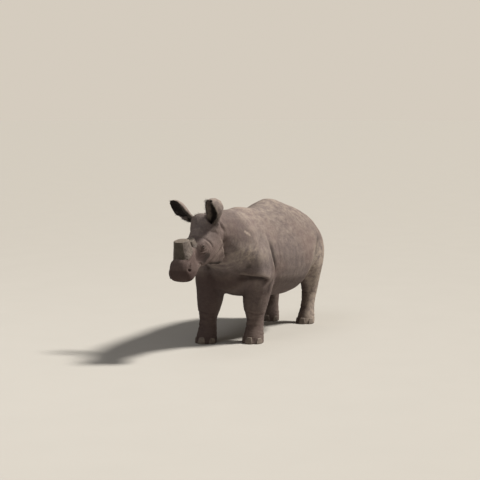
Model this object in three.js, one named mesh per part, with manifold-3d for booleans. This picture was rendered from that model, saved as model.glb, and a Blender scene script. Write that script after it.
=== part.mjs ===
// A life-size white rhinoceros with sawn-off horns, standing on a level floor with its right forefoot ahead.
// Millimetres, +Z up. The animal faces -Y and +X is its left. The origin is on the floor, under its middle.
import * as THREE from 'three';
import { LoftGeometry } from 'three/addons/geometries/LoftGeometry.js';
import { mergeVertices } from 'three/addons/utils/BufferGeometryUtils.js';
import Module from 'manifold-3d';

const wasm = await Module();
wasm.setup();

// ---- Driving dimensions ----
const shoulderHeight = 1680; // floor to the top of the shoulder
const trunkLength = 2330; // brisket to rump
const barrelHalf = 600; // half of the widest girth
const wheelbase = 1655; // between the lines of the fore and hind feet
const stride = 255; // how far the right forefoot is ahead of the left
const headLength = 970; // nape to lips
const headWidth = 400; // across the cheekbones
const earLength = 395;
const earWidth = 200;
const eyeRadius = 25;
const tailLength = 700;
const gap = 0.5; // between neighbouring pieces

// The head's carriage: where the nape is, how far the nose is lowered, and how far it turns to the right.
const nape = new THREE.Vector3(29, -830, 1528);
const noseDown = THREE.MathUtils.degToRad(30);
const noseTurn = THREE.MathUtils.degToRad(-0.8);

const X = new THREE.Vector3(1, 0, 0);
const Y = new THREE.Vector3(0, 1, 0);
const Z = new THREE.Vector3(0, 0, 1);

// ---- Lofting and joining ----

// Smooth values between rows that give the same named sizes at rising values of `at`.
function smoothRows(rows, count) {
  const names = Object.keys(rows[0]).filter((name) => name !== 'at');
  const values = rows.flatMap((row) => names.map((name) => row[name]));
  const places = rows.map((row) => row.at);
  const curve = new THREE.CubicInterpolant(places, values, names.length, new Array(names.length));
  const first = rows[0].at;
  const span = rows.at(-1).at - first;
  return Array.from({ length: count }, (_, i) => {
    const at = first + (span * i) / (count - 1);
    const found = Array.from(curve.evaluate(at));
    return { at, ...Object.fromEntries(names.map((name, k) => [name, found[k]])) };
  });
}

// One closed ring: an oval with its own fullness above and below its widest line.
function oval(centre, across, upward, { wide, up, down, fullUp = 2, fullDown = 2 }, count, grow = 0) {
  return Array.from({ length: count }, (_, k) => {
    const angle = (2 * Math.PI * (k + 0.5)) / count;
    const power = 2 / (Math.sin(angle) > 0 ? fullUp : fullDown);
    const c = Math.sign(Math.cos(angle)) * Math.abs(Math.cos(angle)) ** power;
    const s = Math.sign(Math.sin(angle)) * Math.abs(Math.sin(angle)) ** power;
    return centre
      .clone()
      .addScaledVector(across, (wide + grow) * c)
      .addScaledVector(upward, ((s > 0 ? up : down) + grow) * s);
  });
}

function solidOf(geometry) {
  const bare = new THREE.BufferGeometry();
  bare.setAttribute('position', geometry.getAttribute('position'));
  bare.setIndex(geometry.getIndex());
  const merged = mergeVertices(bare, 1e-3);
  return new wasm.Manifold(
    new wasm.Mesh({
      numProp: 3,
      vertProperties: merged.getAttribute('position').array,
      triVerts: new Uint32Array(merged.getIndex().array),
    }),
  );
}

function middleOf(ring) {
  const sum = ring.reduce((total, point) => total.add(point), new THREE.Vector3());
  return sum.divideScalar(ring.length);
}

// A closed solid through rings of points, each turned so that the faces look outwards. deeper: how much
// further its root goes, for the pocket of a piece that is set in.
function loftSolid(rings, deeper = 0) {
  const area = (ring) => {
    const sum = new THREE.Vector3();
    ring.forEach((point, i) => sum.add(point.clone().cross(ring[(i + 1) % ring.length])));
    return sum;
  };
  const along = middleOf(rings[1]).sub(middleOf(rings[0]));
  rings[0].forEach((point) => point.addScaledVector(along, -deeper / along.length()));
  const ordered = area(rings[0]).dot(along) > 0 ? rings : rings.map((ring) => ring.toReversed());
  return solidOf(new LoftGeometry(ordered, { capStart: true, capEnd: true }));
}

function ellipsoidSolid(centre, sizes, frame, [around, over] = [12, 6], grow = 0) {
  const ball = new THREE.SphereGeometry(1, around, over);
  ball.scale(sizes[0] + grow, sizes[1] + grow, sizes[2] + grow);
  ball.translate(...centre);
  return solidOf(ball.applyMatrix4(frame));
}

// The largest body of a solid, without any sliver that a cut leaves.
function mainBody(solid) {
  return solid.decompose().reduce((best, body) => (body.volume() > best.volume() ? body : best));
}

function geometryOf(solid) {
  const mesh = solid.getMesh();
  const geometry = new THREE.BufferGeometry();
  geometry.setAttribute('position', new THREE.BufferAttribute(Float32Array.from(mesh.vertProperties), 3));
  geometry.setIndex(new THREE.BufferAttribute(Uint32Array.from(mesh.triVerts), 1));
  geometry.computeVertexNormals();
  return geometry;
}

function boxSolid(low, high, frame = new THREE.Matrix4()) {
  const sizes = high.map((value, i) => value - low[i]);
  const box = new THREE.BoxGeometry(...sizes);
  box.translate(...low.map((value, i) => value + sizes[i] / 2));
  return solidOf(box.applyMatrix4(frame));
}

// ---- Trunk ----
// at: share of the trunk's length from the brisket. top and low: shares of the shoulder height.
// wide: share of barrelHalf. girth: how high between low and top the widest line runs.
const chestY = -430;
const trunkRows = [
  { at: 0.0, top: 0.76, low: 0.5, wide: 0.24, girth: 0.5, fullUp: 2.0, fullDown: 2.0 },
  { at: 0.03, top: 0.87, low: 0.425, wide: 0.48, girth: 0.5, fullUp: 2.0, fullDown: 2.0 },
  { at: 0.09, top: 0.96, low: 0.37, wide: 0.67, girth: 0.48, fullUp: 1.85, fullDown: 2.1 },
  { at: 0.17, top: 0.995, low: 0.335, wide: 0.78, girth: 0.46, fullUp: 1.8, fullDown: 2.2 },
  { at: 0.27, top: 0.985, low: 0.312, wide: 0.86, girth: 0.44, fullUp: 1.75, fullDown: 2.3 },
  { at: 0.38, top: 0.97, low: 0.297, wide: 0.94, girth: 0.42, fullUp: 1.75, fullDown: 2.3 },
  { at: 0.47, top: 1.0, low: 0.284, wide: 0.99, girth: 0.42, fullUp: 1.65, fullDown: 2.35 },
  { at: 0.555, top: 1.03, low: 0.28, wide: 1.0, girth: 0.43, fullUp: 1.55, fullDown: 2.35 },
  { at: 0.635, top: 1.014, low: 0.29, wide: 0.97, girth: 0.46, fullUp: 1.55, fullDown: 2.25 },
  { at: 0.74, top: 0.978, low: 0.345, wide: 0.9, girth: 0.5, fullUp: 1.65, fullDown: 2.1 },
  { at: 0.83, top: 0.94, low: 0.41, wide: 0.82, girth: 0.52, fullUp: 1.8, fullDown: 2.1 },
  { at: 0.91, top: 0.88, low: 0.48, wide: 0.69, girth: 0.52, fullUp: 1.9, fullDown: 2.1 },
  { at: 0.965, top: 0.8, low: 0.55, wide: 0.49, girth: 0.52, fullUp: 2.0, fullDown: 2.0 },
  { at: 1.0, top: 0.72, low: 0.61, wide: 0.2, girth: 0.5, fullUp: 2.0, fullDown: 2.0 },
];

function trunkSolid() {
  const rings = smoothRows(trunkRows, 21).map((row) => {
    const top = row.top * shoulderHeight;
    const low = row.low * shoulderHeight;
    const girth = low + (top - low) * row.girth;
    const centre = new THREE.Vector3(0, chestY + row.at * trunkLength, girth);
    const sizes = { ...row, wide: row.wide * barrelHalf, up: top - girth, down: girth - low };
    return oval(centre, X, Z, sizes, 24);
  });
  return loftSolid(rings);
}

// ---- Neck, from inside the chest to inside the head ----
// y and z: the middle. lean: degrees that a ring leans forward.
const neckRows = [
  { at: 0, y: 50, z: 1180, up: 475, down: 430, wide: 390, lean: 0, fullUp: 1.9, fullDown: 2.1 },
  { at: 0.3, y: -230, z: 1215, up: 445, down: 415, wide: 400, lean: 4, fullUp: 1.85, fullDown: 2.1 },
  { at: 0.55, y: -470, z: 1270, up: 412, down: 388, wide: 345, lean: 11, fullUp: 1.8, fullDown: 2.0 },
  { at: 0.8, y: -690, z: 1335, up: 350, down: 350, wide: 262, lean: 20, fullUp: 1.9, fullDown: 2.0 },
  { at: 1, y: -860, z: 1390, up: 225, down: 235, wide: 165, lean: 30, fullUp: 2.0, fullDown: 2.0 },
];

function neckSolid() {
  const rings = smoothRows(neckRows, 10).map((row) => {
    const lean = THREE.MathUtils.degToRad(row.lean);
    const centre = new THREE.Vector3(nape.x * row.at ** 2, row.y, row.z);
    const upward = new THREE.Vector3(0, -Math.sin(lean), Math.cos(lean));
    return oval(centre, X, upward, row, 18);
  });
  return loftSolid(rings);
}

// ---- Head, in its own frame: the nape at the origin, the nose towards -Y and the brow towards +Z ----
// at: share of the head's length. top and low: shares of its length above and below the nape.
// wide: share of half its width.
const headRows = [
  { at: 0.0, top: 0.13, low: -0.25, wide: 0.5, girth: 0.5, fullUp: 2.0, fullDown: 2.0 },
  { at: 0.05, top: 0.19, low: -0.47, wide: 0.9, girth: 0.72, fullUp: 2.7, fullDown: 2.2 },
  { at: 0.12, top: 0.197, low: -0.53, wide: 0.93, girth: 0.68, fullUp: 2.5, fullDown: 2.4 },
  { at: 0.22, top: 0.162, low: -0.45, wide: 0.91, girth: 0.52, fullUp: 1.9, fullDown: 2.1 },
  { at: 0.33, top: 0.116, low: -0.37, wide: 0.87, girth: 0.49, fullUp: 1.8, fullDown: 2.1 },
  { at: 0.44, top: 0.087, low: -0.3, wide: 0.77, girth: 0.48, fullUp: 1.8, fullDown: 2.3 },
  { at: 0.54, top: 0.088, low: -0.252, wide: 0.66, girth: 0.46, fullUp: 1.9, fullDown: 2.6 },
  { at: 0.64, top: 0.11, low: -0.228, wide: 0.63, girth: 0.4, fullUp: 1.8, fullDown: 2.8 },
  { at: 0.75, top: 0.132, low: -0.22, wide: 0.68, girth: 0.35, fullUp: 1.8, fullDown: 3.0 },
  { at: 0.85, top: 0.114, low: -0.21, wide: 0.73, girth: 0.35, fullUp: 1.9, fullDown: 3.0 },
  { at: 0.92, top: 0.07, low: -0.195, wide: 0.73, girth: 0.38, fullUp: 2.1, fullDown: 3.0 },
  { at: 0.97, top: 0.0, low: -0.168, wide: 0.62, girth: 0.46, fullUp: 2.3, fullDown: 2.6 },
  { at: 1.0, top: -0.06, low: -0.135, wide: 0.39, girth: 0.5, fullUp: 2.0, fullDown: 2.0 },
];

const headFrame = new THREE.Matrix4()
  .makeRotationFromEuler(new THREE.Euler(noseDown, 0, -noseTurn, 'ZYX'))
  .setPosition(nape);

function headSolid() {
  const rings = smoothRows(headRows, 23).map((row) => {
    const top = row.top * headLength;
    const low = row.low * headLength;
    const girth = low + (top - low) * row.girth;
    const centre = new THREE.Vector3(0, -row.at * headLength, girth);
    const sizes = { ...row, wide: (row.wide * headWidth) / 2, up: top - girth, down: girth - low };
    return oval(centre, X, Z, sizes, 20).map((point) => point.applyMatrix4(headFrame));
  });
  return loftSolid(rings);
}

// ---- Eyes, seated under a brow on each side of the head ----
const eyeCentre = (side) => [side * 106, -0.46 * headLength, 0];
const eyeSolid = (side, grow = 0) =>
  ellipsoidSolid(eyeCentre(side), [eyeRadius, eyeRadius, eyeRadius], headFrame, [12, 8], grow);

function browSolid(side) {
  const [x, y, z] = eyeCentre(side);
  return ellipsoidSolid([x - side * 24, y + 12, z + 12], [44, 80, 44], headFrame);
}

// ---- Horns: stumps of packed fibre with sawn, flat tops ----
// place: share of the head's length. root and height: where it starts and ends at its middle, over the nape.
// long and wide: half sizes at the root. tip: size at the top, as a share of the root's.
// slope: how much higher its top's front edge is, for each millimetre. lean: how far back it leans.
const hornSizes = {
  horn_front: { place: 0.75, root: 60, height: 236, long: 128, wide: 100, tip: 0.8, slope: 0.36, lean: 0.26 },
  horn_rear: { place: 0.54, root: 40, height: 128, long: 72, wide: 70, tip: 0.8, slope: 0.05, lean: 0.1 },
};

function hornSolid({ place, root, height, long, wide, tip, slope, lean }, grow = 0) {
  const rings = [0, 0.5, 1].map((share) => {
    const narrow = 1 - (1 - tip) * share;
    const centre = new THREE.Vector3(0, -place * headLength, 0);
    const sizes = { wide: wide * narrow, up: long * narrow, down: long * narrow, fullUp: 2.5, fullDown: 2.5 };
    return oval(centre, X, Y, sizes, 18, grow).map((point) => {
      const front = centre.y - point.y;
      point.z = root + (height + slope * front - root) * share;
      point.y += lean * (point.z - root);
      return point.applyMatrix4(headFrame);
    });
  });
  return loftSolid(rings, grow);
}

// ---- Nostrils: slanting hollows on the sides of the muzzle ----
function nostrilSolid(side) {
  const tilt = new THREE.Matrix4().makeRotationFromEuler(new THREE.Euler(0.5, side * 0.5, 0));
  tilt.setPosition(side * 118, -0.905 * headLength, -0.035 * headLength);
  return ellipsoidSolid([0, 0, 0], [30, 20, 34], headFrame.clone().multiply(tilt), [8, 6]);
}

// ---- Ears: a short tube that opens into a pointed cup ----
// at: share of the ear's length. wide: share of half its width. deep: how far its back bows, likewise.
// hollow: how far the cup is open, from 0, solid, to 1. wrap: how far round the section closes, in turns.
const earRows = [
  { at: 0.0, wide: 0.46, deep: 0.52, hollow: 0, wrap: 0.44 },
  { at: 0.15, wide: 0.48, deep: 0.58, hollow: 0.1, wrap: 0.42 },
  { at: 0.3, wide: 0.58, deep: 0.82, hollow: 0.75, wrap: 0.36 },
  { at: 0.45, wide: 0.84, deep: 1.15, hollow: 1, wrap: 0.31 },
  { at: 0.6, wide: 1.06, deep: 1.42, hollow: 1, wrap: 0.27 },
  { at: 0.75, wide: 1.06, deep: 1.34, hollow: 1, wrap: 0.25 },
  { at: 0.9, wide: 0.7, deep: 0.95, hollow: 1, wrap: 0.25 },
  { at: 1.0, wide: 0.22, deep: 0.34, hollow: 0.8, wrap: 0.25 },
];
const earWall = 15;
const earRoot = 50; // how much of the tube is inside the head

// along: the way the ear points. facing: the way its opening looks. spread: how wide and deep it is held,
// as a share. A grown ear has a filled cup.
function earSolid({ base, along, facing, spread }, grow = 0) {
  const axis = along.clone().normalize();
  const front = facing.clone().addScaledVector(axis, -facing.dot(axis)).normalize();
  const across = new THREE.Vector3().crossVectors(axis, front);
  const steps = 7;
  const rings = smoothRows(earRows, 9).map((row) => {
    const half = (row.wide * spread.wide * earWidth) / 2;
    const deep = (row.deep * spread.deep * earWidth) / 2;
    const bow = Math.sin(Math.PI * row.at) * 14;
    const centre = base.clone().addScaledVector(axis, row.at * (earLength + earRoot) - earRoot);
    centre.addScaledVector(front, bow);
    const arc = (wide, back) =>
      Array.from({ length: steps }, (_, k) => {
        const angle = (k / (steps - 1) - 0.5) * 4 * Math.PI * row.wrap;
        return [wide * Math.sin(angle), -back * Math.cos(angle)];
      });
    const outer = arc(half + grow, deep + grow);
    const wall = Math.min(earWall, half * 0.7, deep * 0.7);
    const hollow = grow ? 0 : row.hollow;
    const inner = arc(half - wall - grow, deep - wall - grow).map(([x, y], k) => {
      const share = k / (steps - 1);
      const chord = [
        THREE.MathUtils.lerp(outer[0][0], outer.at(-1)[0], share) * 0.9,
        THREE.MathUtils.lerp(outer[0][1], outer.at(-1)[1], share) + (1 - hollow) * deep * 0.25 + grow,
      ];
      return [THREE.MathUtils.lerp(chord[0], x, hollow), THREE.MathUtils.lerp(chord[1], y, hollow)];
    });
    return [...outer, ...inner.toReversed()].map(([x, y]) =>
      centre.clone().addScaledVector(across, x).addScaledVector(front, y),
    );
  });
  return loftSolid(rings, grow);
}

const onHead = (x, y, z) => new THREE.Vector3(x, y, z).applyMatrix4(headFrame);
const ears = {
  ear_left: {
    base: onHead(130, -50, 70),
    along: new THREE.Vector3(0.19, -0.75, 0.65),
    facing: new THREE.Vector3(-0.48, -0.74, -0.35),
    spread: { wide: 1.12, deep: 1.05 },
  },
  ear_right: {
    base: onHead(-150, -60, 84),
    along: new THREE.Vector3(-0.88, 0.0, 0.55),
    facing: new THREE.Vector3(0, -0.8, -0.6),
    spread: { wide: 1.02, deep: 0.58 },
  },
};

// ---- Legs ----
// at: height above the floor. x: out from the middle. y: behind the line of the feet. wide: half width.
// up and down: half sizes backwards and forwards.
const foreLegRows = [
  { at: 0, x: 262, y: -40, wide: 126, up: 126, down: 144, fullUp: 2.2, fullDown: 2.2 },
  { at: 14, x: 262, y: -40, wide: 135, up: 134, down: 154, fullUp: 2.2, fullDown: 2.2 },
  { at: 70, x: 262, y: -32, wide: 131, up: 126, down: 146, fullUp: 2.2, fullDown: 2.2 },
  { at: 140, x: 263, y: -18, wide: 116, up: 116, down: 124, fullUp: 2.1, fullDown: 2.1 },
  { at: 220, x: 264, y: -5, wide: 108, up: 114, down: 108, fullUp: 2, fullDown: 2 },
  { at: 320, x: 266, y: 0, wide: 112, up: 120, down: 112, fullUp: 2, fullDown: 2 },
  { at: 420, x: 263, y: 2, wide: 146, up: 142, down: 138, fullUp: 2, fullDown: 2 },
  { at: 520, x: 267, y: 12, wide: 166, up: 172, down: 158, fullUp: 2, fullDown: 2 },
  { at: 660, x: 280, y: 28, wide: 180, up: 222, down: 190, fullUp: 2, fullDown: 2 },
  { at: 800, x: 308, y: 30, wide: 176, up: 275, down: 245, fullUp: 2.1, fullDown: 2.1 },
  { at: 960, x: 318, y: 10, wide: 170, up: 312, down: 280, fullUp: 2.2, fullDown: 2.2 },
  { at: 1150, x: 308, y: 0, wide: 164, up: 320, down: 280, fullUp: 2.2, fullDown: 2.2 },
  { at: 1330, x: 268, y: 10, wide: 118, up: 250, down: 205, fullUp: 2, fullDown: 2 },
  { at: 1450, x: 220, y: 20, wide: 70, up: 140, down: 130, fullUp: 2, fullDown: 2 },
];
const hindLegRows = [
  { at: 0, x: 262, y: -40, wide: 117, up: 120, down: 134, fullUp: 2.2, fullDown: 2.2 },
  { at: 14, x: 262, y: -40, wide: 125, up: 128, down: 144, fullUp: 2.2, fullDown: 2.2 },
  { at: 70, x: 263, y: -30, wide: 120, up: 120, down: 134, fullUp: 2.2, fullDown: 2.2 },
  { at: 140, x: 265, y: -12, wide: 103, up: 106, down: 112, fullUp: 2.1, fullDown: 2.1 },
  { at: 230, x: 267, y: 10, wide: 92, up: 102, down: 98, fullUp: 2, fullDown: 2 },
  { at: 340, x: 270, y: 35, wide: 93, up: 110, down: 104, fullUp: 2, fullDown: 2 },
  { at: 450, x: 276, y: 55, wide: 106, up: 134, down: 124, fullUp: 2, fullDown: 2 },
  { at: 560, x: 286, y: 35, wide: 124, up: 156, down: 162, fullUp: 2, fullDown: 2 },
  { at: 680, x: 300, y: -10, wide: 152, up: 195, down: 222, fullUp: 2, fullDown: 2 },
  { at: 820, x: 312, y: -50, wide: 182, up: 260, down: 288, fullUp: 2, fullDown: 2 },
  { at: 980, x: 312, y: -50, wide: 188, up: 300, down: 345, fullUp: 2, fullDown: 2 },
  { at: 1150, x: 290, y: -50, wide: 184, up: 290, down: 350, fullUp: 2, fullDown: 2 },
  { at: 1320, x: 248, y: -60, wide: 146, up: 225, down: 300, fullUp: 2, fullDown: 2 },
  { at: 1440, x: 190, y: -70, wide: 90, up: 120, down: 170, fullUp: 2, fullDown: 2 },
];
const foreFeetY = -45;
const hindFeetY = foreFeetY + wheelbase;
const stance = {
  fore_leg_left: { rows: foreLegRows, side: 1, feetY: foreFeetY, ahead: 0 },
  fore_leg_right: { rows: foreLegRows, side: -1, feetY: foreFeetY, ahead: stride },
  hind_leg_left: { rows: hindLegRows, side: 1, feetY: hindFeetY, ahead: 0 },
  hind_leg_right: { rows: hindLegRows, side: -1, feetY: hindFeetY, ahead: 0 },
};

// How far a leg stepped ahead has swung forward at a height: all of it at the foot and none at its top.
function legMiddleY({ rows, feetY, ahead }, row) {
  const share = Math.min(1, row.at / rows.at(-1).at);
  return feetY + row.y - ahead * Math.cos((Math.PI / 2) * share) ** 1.3;
}

function legSolid(leg) {
  const rings = smoothRows(leg.rows, 15).map((row) => {
    const centre = new THREE.Vector3(leg.side * row.x, legMiddleY(leg, row), row.at);
    return oval(centre, X, Y, row, 12);
  });
  return loftSolid(rings);
}

// The space that a leg takes up to its shoulder or hip: its side outline and a margin, and outwards.
const legMargin = 45;
const legInnerX = 110;
const legOuterX = 800;

function legRegion(leg, grow = 0) {
  const margin = legMargin + grow;
  const rows = smoothRows(leg.rows, 9);
  const edge = (row, sign, size) => new THREE.Vector2(legMiddleY(leg, row) + sign * (size + margin), row.at);
  const front = rows.map((row) => edge(row, -1, row.down));
  const back = rows.map((row) => edge(row, 1, row.up));
  front[0].y = -legMargin;
  back[0].y = -legMargin;
  front.at(-1).y += margin;
  back.at(-1).y += margin;
  const shape = new THREE.Shape([...front, ...back.toReversed()]);
  const depth = legOuterX - legInnerX + grow;
  const prism = new THREE.ExtrudeGeometry(shape, { depth, bevelEnabled: false });
  prism.translate(0, 0, leg.side > 0 ? legInnerX - grow : -legOuterX);
  const bare = mergeVertices(prism.deleteAttribute('normal').deleteAttribute('uv'), 1e-3);
  return solidOf(bare.applyMatrix4(new THREE.Matrix4().makeBasis(Y, Z, X)));
}

// ---- Toenails: three on each foot, set into its rim ----
const nailSizes = { broad: 0.36, low: 3, high: 82, proud: 7, deep: 16 };

// turn: the way the nail looks, in turns round the foot from straight ahead. size: share of the middle one.
function nailSolid(leg, turn, size, grow = 0) {
  const { broad, low, high, proud, deep } = nailSizes;
  const steps = 4;
  const rings = [0, 0.4, 0.8, 1].map((share) => {
    const height = low - grow + (high * size - low + 2 * grow) * share;
    const row = smoothRows(leg.rows.slice(1, 4), 40).reduce((a, b) =>
      Math.abs(a.at - height) < Math.abs(b.at - height) ? a : b,
    );
    const spread = broad * size * Math.sqrt(1 - 0.62 * share ** 2) + grow / 120;
    const point = (k, out) => {
      const angle = turn * 2 * Math.PI + (k / (steps - 1) - 0.5) * 2 * spread;
      const centre = new THREE.Vector3(leg.side * row.x, legMiddleY(leg, row), height);
      centre.x += (row.wide + out) * Math.sin(angle);
      centre.y -= ((Math.cos(angle) > 0 ? row.down : row.up) + out) * Math.cos(angle);
      return centre;
    };
    const outer = Array.from({ length: steps }, (_, k) => point(k, proud * (1 - 0.5 * share) + grow));
    const inner = Array.from({ length: steps }, (_, k) => point(k, -deep - grow));
    return [...outer, ...inner.toReversed()];
  });
  return loftSolid(rings);
}

// ---- Tail, hanging down the middle of the rump ----
const tailRows = [
  { at: 0, y: 1740, z: 1330, wide: 74, deep: 60 },
  { at: 0.14, y: 1835, z: 1285, wide: 66, deep: 52 },
  { at: 0.3, y: 1905, z: 1190, wide: 46, deep: 38 },
  { at: 0.5, y: 1935, z: 1050, wide: 34, deep: 28 },
  { at: 0.75, y: 1930, z: 870, wide: 26, deep: 22 },
  { at: 0.92, y: 1922, z: 745, wide: 24, deep: 18 },
  { at: 1, y: 1920, z: 1330 - tailLength, wide: 14, deep: 10 },
];

function tailSolid(grow = 0) {
  const rows = smoothRows(tailRows, 10);
  const rings = rows.map((row, i) => {
    const before = rows[Math.max(0, i - 1)];
    const after = rows[Math.min(rows.length - 1, i + 1)];
    const along = new THREE.Vector3(0, after.y - before.y, after.z - before.z).normalize();
    const outward = new THREE.Vector3().crossVectors(X, along);
    const centre = new THREE.Vector3(0, row.y, row.z);
    return oval(centre, X, outward, { wide: row.wide, up: row.deep, down: row.deep }, 10, grow);
  });
  return loftSolid(rings, grow);
}

// ---- Assembly ----
const finishes = {
  hide: new THREE.MeshStandardMaterial({ color: 0x6f6560, roughness: 0.9, metalness: 0 }),
  horn: new THREE.MeshStandardMaterial({ color: 0x4b4238, roughness: 0.75, metalness: 0 }),
  nail: new THREE.MeshStandardMaterial({ color: 0x5a5046, roughness: 0.6, metalness: 0 }),
  eye: new THREE.MeshStandardMaterial({ color: 0x1c120c, roughness: 0.1, metalness: 0 }),
};
const rhinoceros = new THREE.Group();

function addPiece(name, solid, finish) {
  const mesh = new THREE.Mesh(geometryOf(mainBody(solid)), finish.clone());
  mesh.name = name;
  rhinoceros.add(mesh);
}

// The whole animal as one body, before it is parted.
let body = trunkSolid().add(neckSolid());
for (const leg of Object.values(stance)) body = body.add(legSolid(leg));
let head = headSolid();
for (const side of [1, -1]) head = head.add(browSolid(side));
body = body.add(head);

// Sockets for all that is set into it.
for (const side of [1, -1]) body = body.subtract(eyeSolid(side, gap)).subtract(nostrilSolid(side));
for (const sizes of Object.values(hornSizes)) body = body.subtract(hornSolid(sizes, gap));
for (const ear of Object.values(ears)) body = body.subtract(earSolid(ear, gap));
body = body.subtract(tailSolid(gap));

// Legs, each with its three nails.
const nailTurns = { inner: -0.17, middle: 0, outer: 0.17 };
for (const [name, leg] of Object.entries(stance)) {
  let part = body.intersect(legRegion(leg));
  for (const [place, turn] of Object.entries(nailTurns)) {
    const size = turn ? 0.86 : 1;
    part = part.subtract(nailSolid(leg, turn * leg.side, size, gap));
    addPiece(`${name}_nail_${place}`, nailSolid(leg, turn * leg.side, size), finishes.nail);
  }
  addPiece(name, part, finishes.hide);
  body = body.subtract(legRegion(leg, gap));
}

// Head and neck, parted from the trunk by level and upright cuts.
const neckY = -420;
const farOut = 2000;
const frontBox = (grow) => boxSolid([-farOut, -farOut * 2, 500], [farOut, neckY + grow, farOut * 2]);
addPiece('trunk', body.subtract(frontBox(gap)), finishes.hide);
const front = body.intersect(frontBox(0));
const headBox = (grow) =>
  boxSolid([-farOut, -farOut, -0.4 * headLength - grow], [farOut, 15 + grow, farOut], headFrame);
addPiece('neck', front.subtract(headBox(gap)), finishes.hide);

// The lower jaw, below the line of the mouth.
const mouth = { back: -0.66 * headLength, height: -0.15 * headLength };
const jawBox = (grow) =>
  boxSolid([-farOut, -farOut, -farOut], [farOut, mouth.back + grow, mouth.height + grow], headFrame);
const skull = front.intersect(headBox(0));
addPiece('head', skull.subtract(jawBox(gap)), finishes.hide);
addPiece('lower_jaw', skull.intersect(jawBox(0)), finishes.hide);

for (const [name, ear] of Object.entries(ears)) addPiece(name, earSolid(ear), finishes.hide);
for (const [name, sizes] of Object.entries(hornSizes)) addPiece(name, hornSolid(sizes), finishes.horn);
addPiece('eye_left', eyeSolid(1), finishes.eye);
addPiece('eye_right', eyeSolid(-1), finishes.eye);
addPiece('tail', tailSolid(), finishes.hide);

// The origin goes to the floor under the middle of the whole.
const bounds = new THREE.Box3().setFromObject(rhinoceros);
const middle = bounds.getCenter(new THREE.Vector3());
rhinoceros.position.set(-middle.x, -middle.y, -bounds.min.z);

export default rhinoceros;
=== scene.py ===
"""The looks of a life-size white rhinoceros with sawn horns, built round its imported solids.

Metres, +Z up. The animal faces -Y and +X is its left. Each piece is made by one operator.
"""

import math
import random

import bmesh
import bpy
import numpy as np
from bpy.props import FloatProperty, FloatVectorProperty, IntProperty, PointerProperty
from mathutils import Euler, Matrix, Vector, noise
from mathutils.bvhtree import BVHTree


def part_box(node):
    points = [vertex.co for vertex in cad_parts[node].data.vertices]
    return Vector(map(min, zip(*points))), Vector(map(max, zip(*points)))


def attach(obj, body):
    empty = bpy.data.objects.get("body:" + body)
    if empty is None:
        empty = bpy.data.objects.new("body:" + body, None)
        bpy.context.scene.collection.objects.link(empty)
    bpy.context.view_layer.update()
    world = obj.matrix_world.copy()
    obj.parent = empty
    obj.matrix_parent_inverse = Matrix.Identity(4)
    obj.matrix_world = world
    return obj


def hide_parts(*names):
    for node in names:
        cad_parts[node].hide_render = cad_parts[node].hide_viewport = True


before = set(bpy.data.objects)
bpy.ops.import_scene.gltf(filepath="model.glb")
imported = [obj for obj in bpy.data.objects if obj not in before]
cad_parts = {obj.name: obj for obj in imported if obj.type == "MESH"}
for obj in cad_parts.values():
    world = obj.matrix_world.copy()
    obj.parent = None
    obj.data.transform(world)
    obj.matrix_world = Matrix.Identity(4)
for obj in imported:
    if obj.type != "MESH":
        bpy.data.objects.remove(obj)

bl_info = {
    "name": "White Rhinoceros",
    "version": (1, 0, 0),
    "blender": (4, 5, 0),
    "location": "3D View > Sidebar > Rhinoceros",
    "description": "Builds the hide, eyes, horns, nails and hair of a standing white rhinoceros",
    "category": "Object",
}

SIDES = {"left": 1, "right": -1}
LEGS = ("fore_leg_left", "fore_leg_right", "hind_leg_left", "hind_leg_right")
EARS = ("ear_left", "ear_right")
HORNS = ("horn_front", "horn_rear")
FLESH = ("trunk", "neck", "head", "lower_jaw", "tail", *EARS, *LEGS)
NAILS = tuple(f"{leg}_nail_{place}" for leg in LEGS for place in ("inner", "middle", "outer"))

# The head's own frame: the nape at the origin, the nose towards -Y and the brow towards +Z.
HEAD_LENGTH = 0.97
EYE_PLACE = 0.46  # share of the head's length from the nape to the eyes
NOSE_DOWN = math.radians(30)
EAR_FACING = {"ear_left": Vector((-0.48, -0.74, -0.35)), "ear_right": Vector((0, -0.8, -0.6))}


def middle_of(node):
    low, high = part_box(node)
    return (low + high) / 2


def head_frame():
    """The matrix from the head's own frame to the row's, from the places of the two eyes."""
    left, right = middle_of("eye_left"), middle_of("eye_right")
    across = (left - right).normalized()
    turn = math.atan2(across.y, across.x)
    turned = Euler((NOSE_DOWN, 0, turn), "XYZ").to_matrix()
    nape = (left + right) / 2 - turned @ Vector((0, -EYE_PLACE * HEAD_LENGTH, 0))
    return Matrix.Translation(nape) @ turned.to_4x4()


HEAD = head_frame()
TRUNK_LOW, TRUNK_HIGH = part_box("trunk")
NOSE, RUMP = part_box("horn_front")[0].y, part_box("tail")[1].y


# ---------------------------------------------------------------- settings


class HideSettings(bpy.types.PropertyGroup):
    """Sizes and colours of the hide."""

    grid: FloatProperty(
        name="Grid", description="Spacing of the grid that the flesh is joined on", default=0.007, unit="LENGTH"
    )
    triangles: IntProperty(name="Triangles", description="Most triangles in the hide", default=192000)
    relief: FloatProperty(name="Relief", description="Strength of all folds and wrinkles", default=1.0)
    colour: FloatVectorProperty(
        name="Hide", description="Colour of the bare hide", subtype="COLOR", size=3, default=(0.168, 0.136, 0.133)
    )
    # The cracks' own dark colour, also used for the painted shade in the hollows and, darker still, for the painted
    # deep shade.
    crack_and_shade_colour: FloatVectorProperty(
        name="Creases", description="Colour deep in the folds", subtype="COLOR", size=3, default=(0.045, 0.034, 0.029)
    )
    # Colour of the dark lips and of the painted shade on the hide.
    dark_colour: FloatVectorProperty(
        name="Dark hide", description="Colour of the lips and the shaded hide", subtype="COLOR", size=3, default=(0.05, 0.03, 0.027)
    )
    # Colour of the dust, also used for the painted light on the shoulders, cheeks, rump and hindquarters and for the
    # pale ridges.
    dust_and_painted_light_colour: FloatVectorProperty(
        name="Dust", description="Colour of dried mud and dust", subtype="COLOR", size=3, default=(0.316, 0.262, 0.222)
    )


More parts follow.
